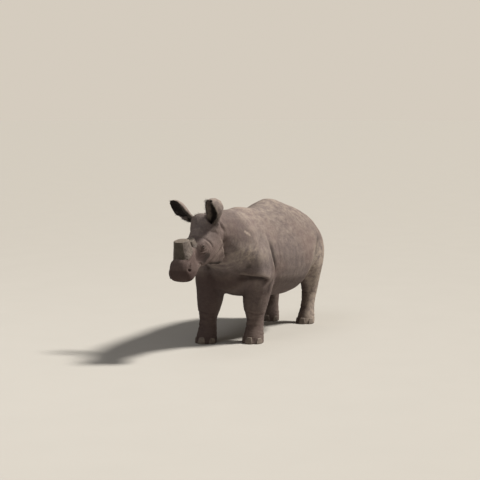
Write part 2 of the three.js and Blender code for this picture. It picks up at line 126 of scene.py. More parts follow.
class HornSettings(bpy.types.PropertyGroup):
    """Sizes and colours of the horn stumps and the toenails."""

    grid: FloatProperty(
        name="Grid", description="Spacing of the grid that each horn is made on", default=0.0032, unit="LENGTH"
    )
    fibre: FloatProperty(
        name="Fibre", description="Depth of the grooves between the fibres", default=0.0015, unit="LENGTH"
    )
    colour: FloatVectorProperty(
        name="Horn", description="Colour of the horn's sides", subtype="COLOR", size=3, default=(0.105, 0.085, 0.076)
    )
    cut_colour: FloatVectorProperty(
        name="Cut", description="Colour of the sawn top", subtype="COLOR", size=3, default=(0.155, 0.128, 0.102)
    )
    nail_colour: FloatVectorProperty(
        name="Nail", description="Colour of the toenails", subtype="COLOR", size=3, default=(0.15, 0.12, 0.1)
    )


class EyeSettings(bpy.types.PropertyGroup):
    """Sizes and colours of the eyes."""

    iris: FloatProperty(name="Iris", description="Radius of the iris", default=0.0135, unit="LENGTH")
    colour: FloatVectorProperty(
        name="Iris colour", description="Colour of the iris", subtype="COLOR", size=3, default=(0.03, 0.014, 0.007)
    )


class HairSettings(bpy.types.PropertyGroup):
    """Sizes and colours of the few hairs."""

    fringe: FloatProperty(name="Fringe", description="Length of an ear's fringe", default=0.034, unit="LENGTH")
    tassel: FloatProperty(name="Tassel", description="Length of the tail's bristles", default=0.13, unit="LENGTH")
    lash: FloatProperty(name="Lash", description="Length of an eyelash", default=0.022, unit="LENGTH")
    seed: IntProperty(name="Seed", description="Seed of the hairs' disorder", default=7)
    colour: FloatVectorProperty(
        name="Hair", description="Colour of the hair", subtype="COLOR", size=3, default=(0.035, 0.026, 0.02)
    )


class StageSettings(bpy.types.PropertyGroup):
    """The camera, floor and lights."""

    azimuth: FloatProperty(
        name="Azimuth", description="How far round the camera stands", default=math.radians(26), subtype="ANGLE"
    )
    elevation: FloatProperty(
        name="Elevation", description="How high the camera stands", default=math.radians(7), subtype="ANGLE"
    )
    distance: FloatProperty(name="Distance", description="How far the camera stands", default=16, unit="LENGTH")
    floor: FloatProperty(name="Floor", description="Radius of the floor", default=400, unit="LENGTH")
    lens: FloatProperty(name="Lens", description="Focal length in millimetres", default=96, subtype="DISTANCE_CAMERA")
    key: FloatProperty(name="Key", description="Strength of the key light", default=5.7)
    fill: FloatProperty(name="Fill", description="Power of the fill light", default=300, subtype="POWER")
    ambient: FloatProperty(name="Ambient", description="Strength of the light from all round", default=0.24)
    backdrop: FloatProperty(name="Backdrop", description="Brightness of the backdrop", default=0.8)
    floor_colour: FloatVectorProperty(
        name="Floor", description="Colour of the floor", subtype="COLOR", size=3, default=(0.42, 0.405, 0.38)
    )


# ---------------------------------------------------------------- meshes


def link(name, mesh):
    """A new object at the origin."""
    made = bpy.data.objects.new(name, mesh)
    bpy.context.scene.collection.objects.link(made)
    return made


def evaluated_mesh(source):
    """The object's mesh with its modifiers done; the object is removed."""
    graph = bpy.context.evaluated_depsgraph_get()
    mesh = bpy.data.meshes.new_from_object(source.evaluated_get(graph))
    bpy.data.objects.remove(source)
    return mesh


def merged_copy(node, grow=0.0):
    """A bmesh of a node's solid with its loose triangles joined, each vertex moved outwards by grow."""
    made = bmesh.new()
    made.from_mesh(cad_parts[node].data)
    bmesh.ops.remove_doubles(made, verts=made.verts, dist=1e-5)
    made.normal_update()
    moved = [vertex.co + vertex.normal * grow for vertex in made.verts]
    for vertex, place in zip(made.verts, moved):
        vertex.co = place
    return made


def voxel_mesh(name, parts, grid):
    """One closed mesh round all of the bmeshes in parts, which are freed."""
    whole = bpy.data.meshes.new(name)
    joined = bmesh.new()
    for part in parts:
        part.to_mesh(whole)
        joined.from_mesh(whole)
        part.free()
    joined.to_mesh(whole)
    joined.free()
    block = link(name, whole)
    remesh = block.modifiers.new("Grid", "REMESH")
    remesh.mode = "VOXEL"
    remesh.voxel_size = grid
    return evaluated_mesh(block)


class Surface:
    """A mesh's vertices as arrays, for moving them all at once."""

    def __init__(self, mesh):
        self.mesh = mesh
        count = len(mesh.vertices)
        self.co = np.zeros(count * 3)
        mesh.vertices.foreach_get("co", self.co)
        self.co = self.co.reshape(-1, 3)
        pairs = np.zeros(len(mesh.edges) * 2, np.int64)
        mesh.edges.foreach_get("vertices", pairs)
        self.a, self.b = pairs.reshape(-1, 2).T
        self.degree = np.maximum(np.bincount(self.a, minlength=count) + np.bincount(self.b, minlength=count), 1)

    def around(self, values):
        """The mean of each vertex's neighbours."""
        if values.ndim == 1:
            values = values[:, None]
        count = len(self.co)
        columns = [
            np.bincount(self.a, column[self.b], count) + np.bincount(self.b, column[self.a], count)
            for column in values.T
        ]
        return np.squeeze(np.stack(columns, 1) / self.degree[:, None])

    def spread(self, values, rounds):
        for _ in range(rounds):
            values = 0.5 * values + 0.5 * self.around(values)
        return values

    def smooth(self, rounds, share):
        """Laplacian smoothing; share is how much of it each vertex takes, up to 1."""
        for _ in range(rounds):
            self.co += (0.5 * share)[:, None] * (self.around(self.co) - self.co)

    def fair(self, rounds, share, wide):
        """Smooths facets away, and gives back the bulk that this takes off, as a mean over wide rounds."""
        before = self.co.copy()
        self.smooth(rounds, share)
        self.co -= self.spread(self.co - before, wide)

    def save(self):
        self.mesh.vertices.foreach_set("co", self.co.ravel())
        self.mesh.update()

    def normals(self):
        """The vertex normals of the places as they are now."""
        self.save()
        found = np.zeros(len(self.co) * 3)
        self.mesh.vertices.foreach_get("normal", found)
        return found.reshape(-1, 3)

    def tree(self):
        self.save()
        faces = [tuple(face.vertices) for face in self.mesh.polygons]
        return BVHTree.FromPolygons([Vector(place) for place in self.co], faces)


def shade_smooth(mesh):
    mesh.polygons.foreach_set("use_smooth", [True] * len(mesh.polygons))
    mesh.update()


def store(mesh, name, values):
    """A float for each vertex, for the materials to read."""
    attribute = mesh.attributes.new(name, "FLOAT", "POINT")
    attribute.data.foreach_set("value", np.asarray(values, np.float32))


def smoothstep(low, high, values):
    share = np.clip((values - low) / (high - low), 0, 1)
    return share * share * (3 - 2 * share)


def in_head_frame(places):
    """Places in the row's frame as shares of the head's length in the head's frame."""
    inverse = np.array(HEAD.inverted())
    return (places @ inverse[:3, :3].T + inverse[:3, 3]) / HEAD_LENGTH


def noise_at(places, scale, stretch=(1, 1, 1), octaves=3, offset=0.0):
    """Fractal noise from about -1 to 1 at each place; scale is in waves to the metre."""
    squeezed = places * (np.array(stretch) * scale) + offset
    return np.array([noise.fractal(Vector(place), 0.9, 2.1, octaves) for place in squeezed])


def cracks_at(places, scale, stretch=(1, 1, 1)):
    """0 on the borders of irregular cells, rising to about 1 inside them."""
    squeezed = places * (np.array(stretch) * scale)
    found = []
    for place in squeezed:
        near = noise.voronoi(Vector(place))[0]
        found.append(near[1] - near[0])
    return np.clip(np.array(found) * 2.2, 0, 1)


# ---------------------------------------------------------------- folds and creases


def cast(tree, start, towards):
    """The place on the surface that a ray meets first, or None."""
    found = tree.ray_cast(Vector(start), Vector(towards).normalized())[0]
    return found


def dense(points, steps=14):
    """A smooth line through a few points, by Catmull-Rom."""
    points = [Vector(point) for point in points]
    ends = [2 * points[0] - points[1], *points, 2 * points[-1] - points[-2]]
    line = []
    for before, first, last, after in zip(ends, ends[1:], ends[2:], ends[3:]):
        for step in range(steps):
            t = step / steps
            line.append(
                0.5
                * (
                    2 * first
                    + (last - before) * t
                    + (2 * before - 5 * first + 4 * last - after) * t**2
                    + (3 * first - before - 3 * last + after) * t**3
                )
            )
    line.append(points[-1])
    return line


def on_body(tree, side, points):
    """A line on the body's side; points are (share of the trunk's length from its front, height)."""
    length = TRUNK_HIGH.y - TRUNK_LOW.y
    line = []
    for along, height in ((p.x, p.y) for p in dense([(*point, 0) for point in points])):
        place = cast(tree, (side * 2, TRUNK_LOW.y + along * length, height), (-side, 0, 0))
        if place:
            line.append(place)
    return line


def on_head(tree, side, points):
    """A line on the head's side; points are (share from nape to lips, share above the nape)."""
    line = []
    for point in dense([(*point, 0) for point in points]):
        start = HEAD @ (Vector((side * 0.6, -point.x, point.y)) * HEAD_LENGTH)
        place = cast(tree, start, HEAD.to_3x3() @ Vector((-side, 0, 0)))
        if place:
            line.append(place)
    return line


def round_axis(tree, centre, axis, reach, start, stop, sway=0.0):
    """A line round an axis from one angle to another, in turns; 0 is ahead and a quarter is the left."""
    axis = Vector(axis).normalized()
    ahead = Vector((0, -1, 0))
    ahead = (ahead - axis * ahead.dot(axis)).normalized()
    left = axis.cross(ahead)
    line = []
    steps = 40
    for step in range(steps + 1):
        angle = 2 * math.pi * (start + (stop - start) * step / steps)
        out = ahead * math.cos(angle) + left * math.sin(angle)
        lift = axis * sway * math.sin(2 * angle + centre[2] * 9)
        place = cast(tree, Vector(centre) + lift + out * reach, -out)
        if place:
            line.append(place)
    return line


class Sculpt:
    """Moves a surface's vertices along its normals by strokes."""

    def __init__(self, surface, strength):
        self.surface = surface
        self.strength = strength
        self.out = surface.normals()
        self.shift = np.zeros(len(surface.co))

    def near(self, line, reach):
        """The vertices near a line, their distances, their places along it and the way to them from it."""
        points = np.array(line)
        low, high = points.min(0) - reach, points.max(0) + reach
        chosen = np.flatnonzero(np.all((self.surface.co > low) & (self.surface.co < high), axis=1))
        co = self.surface.co[chosen]
        best = np.full(len(co), 1e9)
        share = np.zeros(len(co))
        way = np.zeros_like(co)
        for index, (start, stop) in enumerate(zip(points, points[1:])):
            span = stop - start
            t = np.clip(((co - start) @ span) / max(span @ span, 1e-12), 0, 1)
            offset = co - (start + t[:, None] * span)
            distance = np.linalg.norm(offset, axis=1)
            closer = distance < best
            best[closer] = distance[closer]
            share[closer] = (index + t[closer]) / (len(points) - 1)
            way[closer] = offset[closer]
        keep = best < reach
        return chosen[keep], best[keep], share[keep], way[keep]

    def stroke(self, line, width, depth, lip=0.3, towards=None, ends=0.2):
        """A groove along a line with raised lips, or one lip on the side of towards. It fades at its ends."""
        if len(line) < 2:
            return
        chosen, distance, share, way = self.near(line, 5 * width)
        fade = np.minimum(smoothstep(0, ends, share), smoothstep(0, ends, 1 - share)) if ends else 1.0
        side = np.ones(len(chosen))
        if towards is not None:
            side = 0.5 + 0.5 * np.tanh((way @ np.array(Vector(towards).normalized())) / (0.6 * width))
        groove = np.exp(-((distance / width) ** 2))
        raised = np.exp(-(((distance - 2.1 * width) / (1.25 * width)) ** 2)) * side
        self.shift[chosen] += depth * fade * (lip * raised - groove)

    def overhang(self, line, width, height, towards, ends=0.25):
        """A step along a line: the hide bulges on the side of towards, and falls back on the other."""
        chosen, distance, share, way = self.near(line, 3.5 * width)
        fade = np.minimum(smoothstep(0, ends, share), smoothstep(0, ends, 1 - share))
        aside = way @ np.array(Vector(towards).normalized())
        step = np.tanh(aside / (0.22 * width)) * np.exp(-((distance / (1.5 * width)) ** 2))
        self.shift[chosen] += height * fade * step

    def swell(self, centre, sizes, height, turned=None):
        """A soft rise, or hollow, over an ellipsoid round a centre."""
        offset = self.surface.co - np.array(centre)
        if turned is not None:
            offset = offset @ np.array(turned)
        reach = np.sum((offset / np.array(sizes)) ** 2, axis=1)
        self.shift += height * np.exp(-reach)

    def apply(self):
        """Moves the vertices, and starts again from the new surface."""
        self.surface.co += self.out * (self.shift * self.strength)[:, None]
        self.out = self.surface.normals()
        self.shift[:] = 0


def body_folds(sculpt, tree):
    """The great folds of the trunk: behind the shoulder, under it, at the flank and over the ribs."""
    for side in SIDES.values():
        ahead, astern = (0, -1, 0), (0, 1, 0)
        behind_shoulder = [
            (0.19, 1.44),
            (0.18, 1.34),
            (0.178, 1.2),
            (0.186, 1.08),
            (0.202, 0.97),
            (0.2, 0.86),
            (0.172, 0.76),
            (0.145, 0.67),
        ]
        sculpt.stroke(on_body(tree, side, behind_shoulder), 0.022, 0.01, 0.5, ahead, 0.4)
        sculpt.overhang(on_body(tree, side, behind_shoulder[3:]), 0.035, 0.016, ahead, 0.35)
        under_shoulder = [(0.01, 0.885), (0.045, 0.865), (0.085, 0.845), (0.12, 0.815), (0.15, 0.775)]
        sculpt.overhang(on_body(tree, side, under_shoulder), 0.05, 0.026, (0, 0, 1), 0.2)
        sculpt.swell((side * 0.4, TRUNK_LOW.y + 0.11, 1.12), (0.16, 0.14, 0.2), 0.014)
        flank = [
            (0.83, 1.22),
            (0.795, 1.15),
            (0.755, 1.07),
            (0.715, 0.98),
            (0.68, 0.9),
            (0.655, 0.82),
            (0.635, 0.74),
            (0.62, 0.66),
        ]
        sculpt.stroke(on_body(tree, side, flank), 0.075, 0.055, 0.22, ahead, 0.3)
        sculpt.stroke(on_body(tree, side, flank[1:]), 0.022, 0.01, 0.5, ahead, 0.4)
        behind_flank = [(0.86, 1.02), (0.81, 0.9), (0.775, 0.8), (0.74, 0.7)]
        sculpt.stroke(on_body(tree, side, behind_flank), 0.02, 0.006, 0.5, ahead, 0.4)
        rump = [(0.985, 1.2), (0.965, 1.02), (0.94, 0.86), (0.93, 0.72)]
        sculpt.stroke(on_body(tree, side, rump), 0.02, 0.01, 0.4, astern, 0.35)
        for rib in range(5):
            along = 0.3 + 0.055 * rib
            line = [(along - 0.012, 1.28), (along, 1.08), (along - 0.006, 0.9), (along - 0.03, 0.74)]
            sculpt.stroke(on_body(tree, side, line), 0.03, 0.0012, 0.5, None, 0.45)
        loose = [(0.24, 1.3), (0.25, 1.18), (0.252, 1.05), (0.245, 0.93)]
        sculpt.stroke(on_body(tree, side, loose), 0.02, 0.004, 0.4, astern, 0.45)


def neck_folds(sculpt, tree):
    """Soft folds under the throat, and a faint one round the neck's root."""
    nape = HEAD @ Vector((0, 0, 0))
    chest = Vector((0, TRUNK_LOW.y + 0.1, 1.16))
    axis = (nape - chest).normalized()
    for share, width, depth, reach in ((0.86, 0.03, 0.02, 0.3), (0.55, 0.028, 0.014, 0.27), (0.25, 0.03, 0.012, 0.24)):
        centre = chest.lerp(nape, share) + Vector((0, 0, -0.12))
        tilt = (axis + Vector((0, 0, 0.35 * share))).normalized()
        under = round_axis(tree, centre, tilt, 0.75, -reach, reach, 0.012)
        sculpt.stroke(under, width, depth, 0.4, axis, 0.35)
    for side in SIDES.values():
        sculpt.swell((side * 0.28, TRUNK_LOW.y - 0.18, 1.2), (0.1, 0.11, 0.13), 0.012)


def leg_folds(sculpt, tree):
    """Creases round the legs: over the wrist or hock, and above the nails."""
    for leg in LEGS:
        low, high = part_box(f"{leg}_nail_middle")
        foot = Vector(((low.x + high.x) / 2, high.y + 0.1, 0))
        fore = leg.startswith("fore")
        heights = (0.105, 0.15, 0.2, 0.27, 0.36) if fore else (0.105, 0.15, 0.21, 0.3, 0.42)
        for index, height in enumerate(heights):
            centre = foot + Vector((0, 0.02 + 0.12 * height, height))
            start = 0.13 * index
            line = round_axis(tree, centre, (0, 0.12, 1), 0.26, start, start + 0.85, 0.012)
            sculpt.stroke(line, 0.011 + 0.005 * (index % 2), 0.0036 + 0.001 * (index % 3), 0.5, (0, 0, 1), 0.4)


def swell_head(sculpt, centre, sizes, height):
    """A rise or hollow on the head; centre is in shares of the head's length, in the head's own frame."""
    sculpt.swell(HEAD @ (Vector(centre) * HEAD_LENGTH), sizes, height, HEAD.to_3x3())


def head_folds(sculpt, tree):
    """Brow, cheek, jaw, mouth, nostrils, the hollow below the eye and the wrinkles of the muzzle."""
    down, up = HEAD.to_3x3() @ Vector((0, 0, -1)), HEAD.to_3x3() @ Vector((0, 0, 1))
    back, ahead = HEAD.to_3x3() @ Vector((0, 1, 0)), HEAD.to_3x3() @ Vector((0, -1, 0))
    for side in SIDES.values():
        swell_head(sculpt, (side * 0.135, -0.6, -0.07), (0.07, 0.11, 0.1), -0.05)
        swell_head(sculpt, (side * 0.17, -0.24, -0.22), (0.08, 0.12, 0.15), 0.012)
        swell_head(sculpt, (side * 0.12, -0.45, 0.045), (0.05, 0.06, 0.04), 0.009)
        jaw_edge = [(0.42, -0.3), (0.34, -0.345), (0.26, -0.4), (0.18, -0.455), (0.115, -0.5)]
        sculpt.overhang(on_head(tree, side, jaw_edge), 0.04, 0.034, up, 0.2)
        sculpt.stroke(on_head(tree, side, [(f - 0.006, z - 0.022) for f, z in jaw_edge]), 0.015, 0.016, 0.0, None, 0.2)
        cheek_back = [(0.15, -0.04), (0.145, -0.13), (0.14, -0.23), (0.125, -0.34), (0.11, -0.44), (0.1, -0.5)]
        sculpt.overhang(on_head(tree, side, cheek_back), 0.034, 0.013, ahead, 0.25)
        mouth = [(0.985, -0.13), (0.93, -0.148), (0.84, -0.152), (0.74, -0.15), (0.66, -0.155), (0.6, -0.175)]
        sculpt.stroke(on_head(tree, side, mouth), 0.007, 0.015, 0.4, up, 0.12)
        corner = [(0.67, -0.12), (0.62, -0.15), (0.585, -0.19), (0.58, -0.225)]
        sculpt.stroke(on_head(tree, side, corner), 0.009, 0.007, 0.5, back, 0.3)
        swell_head(sculpt, (side * 0.125, -0.885, -0.012), (0.04, 0.018, 0.012), -0.014)
        swell_head(sculpt, (side * 0.125, -0.865, -0.002), (0.04, 0.02, 0.009), -0.01)
        comma = [(0.892, -0.016), (0.868, 0.006), (0.835, 0.016), (0.8, 0.006)]
        sculpt.stroke(on_head(tree, side, comma), 0.009, 0.011, 0.3, None, 0.4)
        wing = [(0.955, -0.02), (0.925, 0.035), (0.87, 0.055), (0.81, 0.03), (0.785, -0.03)]
        sculpt.stroke(on_head(tree, side, wing), 0.012, 0.004, 0.5, down, 0.35)
        for row in range(4):
            start = 0.79 - 0.05 * row
            line = [(start, 0.06 - 0.006 * row), (start - 0.02, 0.01), (start - 0.018, -0.05), (start, -0.1)]
            sculpt.stroke(on_head(tree, side, line), 0.013, 0.0022, 0.5, back, 0.45)
        brow = [(0.53, 0.085), (0.47, 0.095), (0.41, 0.08), (0.37, 0.04), (0.35, -0.01), (0.345, -0.07), (0.36, -0.13)]
        sculpt.stroke(on_head(tree, side, brow), 0.014, 0.007, 0.8, down, 0.35)
        under_eye = [(0.545, -0.005), (0.51, -0.05), (0.46, -0.062), (0.415, -0.045)]
        sculpt.stroke(on_head(tree, side, under_eye), 0.009, 0.006, 0.5, up, 0.35)
        second = [(0.56, -0.045), (0.52, -0.085), (0.46, -0.1), (0.4, -0.08)]
        sculpt.stroke(on_head(tree, side, second), 0.011, 0.0035, 0.5, up, 0.4)
        behind_ear = [(0.0, 0.16), (0.015, 0.08), (0.03, -0.02), (0.03, -0.12)]
        sculpt.stroke(on_head(tree, side, behind_ear), 0.024, 0.016, 0.4, back, 0.35)
        temple = [(0.3, 0.09), (0.24, 0.06), (0.19, 0.0), (0.17, -0.08)]
        sculpt.stroke(on_head(tree, side, temple), 0.016, 0.004, 0.5, back, 0.4)
    for f, z in ((0.38, 0.1), (0.3, 0.13)):
        swell_head(sculpt, (0, -f, z), (0.13, 0.022, 0.06), 0.006)


def wrinkles(sculpt, part_of):
    """The small relief all over: cracked cells on the body, drawn-out wrinkles on neck, legs and face."""
    co = sculpt.surface.co
    head = part_of["head"]
    neck = part_of["neck"]
    legs = part_of["legs"]
    rest = np.clip(1 - head - neck - legs, 0, 1)
    broad = noise_at(co, 2.4, octaves=2)
    sculpt.shift += 0.005 * broad * (rest + 0.6 * neck + 0.3 * legs)
    loose = cracks_at(co + 0.03 * noise_at(co, 5)[:, None], 13, (1, 1.3, 0.8))
    sculpt.shift += 0.0016 * (loose - 0.6) * (rest + 1.2 * neck + 0.7 * legs)
    rings = cracks_at(co, 18, (0.55, 0.55, 2.0))
    sculpt.shift += 0.002 * (rings - 0.6) * legs
    local = in_head_frame(co) * HEAD_LENGTH
    face = cracks_at(local, 34, (0.7, 1.25, 0.8))
    sculpt.shift += 0.0012 * (face - 0.6) * head


# ---------------------------------------------------------------- hide


def eye_opening(surface, side_name):
    """Seats the lids round an eye: the hide lies on the eyeball, and dips behind it inside the opening."""
    side = SIDES[side_name]
    centre = middle_of(f"eye_{side_name}")
    low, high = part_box(f"eye_{side_name}")
    radius = (high.x - low.x) / 2
    looks = HEAD.to_3x3() @ Vector((side, -0.3, 0.12)).normalized()
    along = HEAD.to_3x3() @ Vector((0, -1, -0.12))
    along = (along - looks * along.dot(looks)).normalized()
    upward = looks.cross(along) * side
    offset = surface.co - np.array(centre)
    distance = np.linalg.norm(offset, axis=1)
    near = np.flatnonzero(distance < 2.6 * radius)
    out = offset[near] / distance[near][:, None]
    ahead, above, forth = out @ np.array(along), out @ np.array(upward), out @ np.array(looks)
    opening = np.hypot(ahead / 0.86, above / np.where(above > 0, 0.5, 0.42) / np.sqrt(np.clip(1 - ahead**2 * 0.9, 0.1, 1)))
    front = forth > 0.1
    lid = radius + 0.0045 - 0.001 * smoothstep(1.0, 2.2, opening)
    rim = 0.0022 * np.exp(-(((opening - 1.18) / 0.16) ** 2))
    seated = np.maximum(distance[near], lid + rim)
    dipped = np.where(front & (opening < 1.0), radius * 0.8, seated)
    surface.co[near] = np.array(centre) + out * dipped[:, None]


def clamp_horn(node, level):
    """The horn's solid cut short below the brow's line, which closes its socket in the hide."""
    plug = merged_copy(node, -0.004)
    inverse = HEAD.inverted()
    for vertex in plug.verts:
        local = inverse @ vertex.co
        local.z = min(local.z, level)
        vertex.co = HEAD @ local
    return plug


def sunk_nail(node):
    """The nail's solid moved into the foot, which leaves a shallow bed for the nail."""
    plug = merged_copy(node)
    leg = node.rsplit("_nail_", 1)[0]
    low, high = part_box(f"{leg}_nail_middle")
    axis = Vector(((low.x + high.x) / 2, high.y + 0.1, 0))
    inward = axis - middle_of(node)
    inward.z = 0
    for vertex in plug.verts:
        vertex.co += inward.normalized() * 0.009
    return plug


def parts_near(surface):
    """How much each vertex belongs to the head, ears, neck and legs, softened over the borders."""
    verts, faces, names = [], [], []
    for node in FLESH:
        part = merged_copy(node)
        start = len(verts)
        verts += [vertex.co.copy() for vertex in part.verts]
        faces += [[start + vertex.index for vertex in face.verts] for face in part.faces]
        names += [node] * len(part.faces)
        part.free()
    tree = BVHTree.FromPolygons(verts, faces)
    nearest = np.array([names[tree.find_nearest(Vector(place))[2]] for place in surface.co])
    groups = {"head": ("head", "lower_jaw"), "ears": EARS, "neck": ("neck",), "legs": LEGS, "tail": ("tail",)}
    found = {name: np.isin(nearest, nodes).astype(float) for name, nodes in groups.items()}
    found["legs"] *= smoothstep(0.72, 0.5, surface.co[:, 2])
    return {name: surface.spread(values, 8) for name, values in found.items()}


def finer(mesh, wanted):
    """Splits the faces whose vertices are wanted, for a finer grid there."""
    work = bmesh.new()
    work.from_mesh(mesh)
    work.verts.ensure_lookup_table()
    edges = [edge for edge in work.edges if wanted[edge.verts[0].index] and wanted[edge.verts[1].index]]
    bmesh.ops.subdivide_edges(work, edges=edges, cuts=1, use_grid_fill=True)
    bmesh.ops.triangulate(work, faces=[face for face in work.faces if len(face.verts) > 4])
    work.to_mesh(mesh)
    work.free()
    return mesh


def thinned(mesh, keep, most):
    """The mesh with at most so many triangles; vertices with a high keep lose the fewest."""
    block = link("thinning", mesh)
    group = block.vertex_groups.new(name="loose")
    levels = np.round(1 - np.clip(keep, 0, 1), 1)
    for level in np.unique(levels):
        group.add(np.flatnonzero(levels == level).tolist(), float(level), "REPLACE")
    mesh.calc_loop_triangles()
    thin = block.modifiers.new("Thin", "DECIMATE")
    thin.ratio = most / len(mesh.loop_triangles)
    thin.vertex_group = "loose"
    thin.vertex_group_factor = 1e-6
    thin.use_collapse_triangulate = True
    made = evaluated_mesh(block)
    for name in [group.name for group in made.attributes if group.name == "loose"]:
        made.attributes.remove(made.attributes[name])
    return made


SCAR = [(-0.026, 1.425), (-0.009, 1.402), (0.018, 1.366)]
# Lines of painted shadow on the face: from the rear horn's foot down past the eye, below the eye, under the jaw,
# behind the cheek, in the brow and along the mouth; each row is the line, its width and its strength.
FACE_SHADOW_LINES = (
    ([(0.5, 0.085), (0.54, 0.045), (0.548, -0.01), (0.555, -0.06)], 0.03, 1.1),
    ([(0.52, -0.05), (0.56, -0.09), (0.55, -0.13), (0.505, -0.16), (0.47, -0.19)], 0.052, 1.3),
    ([(0.53, -0.1), (0.49, -0.13), (0.45, -0.15), (0.43, -0.17)], 0.034, 1.2),
    ([(0.43, -0.29), (0.38, -0.32), (0.33, -0.355), (0.26, -0.4), (0.2, -0.435), (0.1, -0.505)], 0.024, 1.2),
    ([(0.155, -0.1), (0.135, -0.22), (0.12, -0.34), (0.105, -0.44), (0.1, -0.52)], 0.016, 0.25),
    ([(0.38, 0.055), (0.352, 0.0), (0.342, -0.07), (0.355, -0.13)], 0.011, 0.5),
    ([(0.985, -0.13), (0.93, -0.148), (0.84, -0.152), (0.74, -0.15), (0.66, -0.155), (0.6, -0.175)], 0.009, 0.6),
)


# Painted shadow under the shoulder's fold, as (across, from the trunk's front, height).
SHADOW_UNDER_SHOULDER = (
    (0.15, 0.05, 0.815),
    (0.24, 0.12, 0.815),
    (0.3, 0.17, 0.825),
    (0.36, 0.19, 0.832),
    (0.42, 0.24, 0.825),
    (0.45, 0.3, 0.805),
)
# Lines of painted shadow on the body: behind the shoulder, down the back of the foreleg and along the flank's fold;
# each row is the line, its width and its strength.
BODY_SHADOW_LINES = (
    ([(0.188, 1.32), (0.186, 1.2), (0.192, 1.1), (0.204, 1.0), (0.21, 0.92), (0.208, 0.86)], 0.04, 0.7),
    ([(0.208, 0.87), (0.185, 0.79), (0.165, 0.73), (0.158, 0.66), (0.158, 0.56)], 0.045, 0.95),
    ([(0.8, 1.14), (0.777, 1.05), (0.742, 0.92), (0.712, 0.84), (0.69, 0.76)], 0.05, 0.4),
)


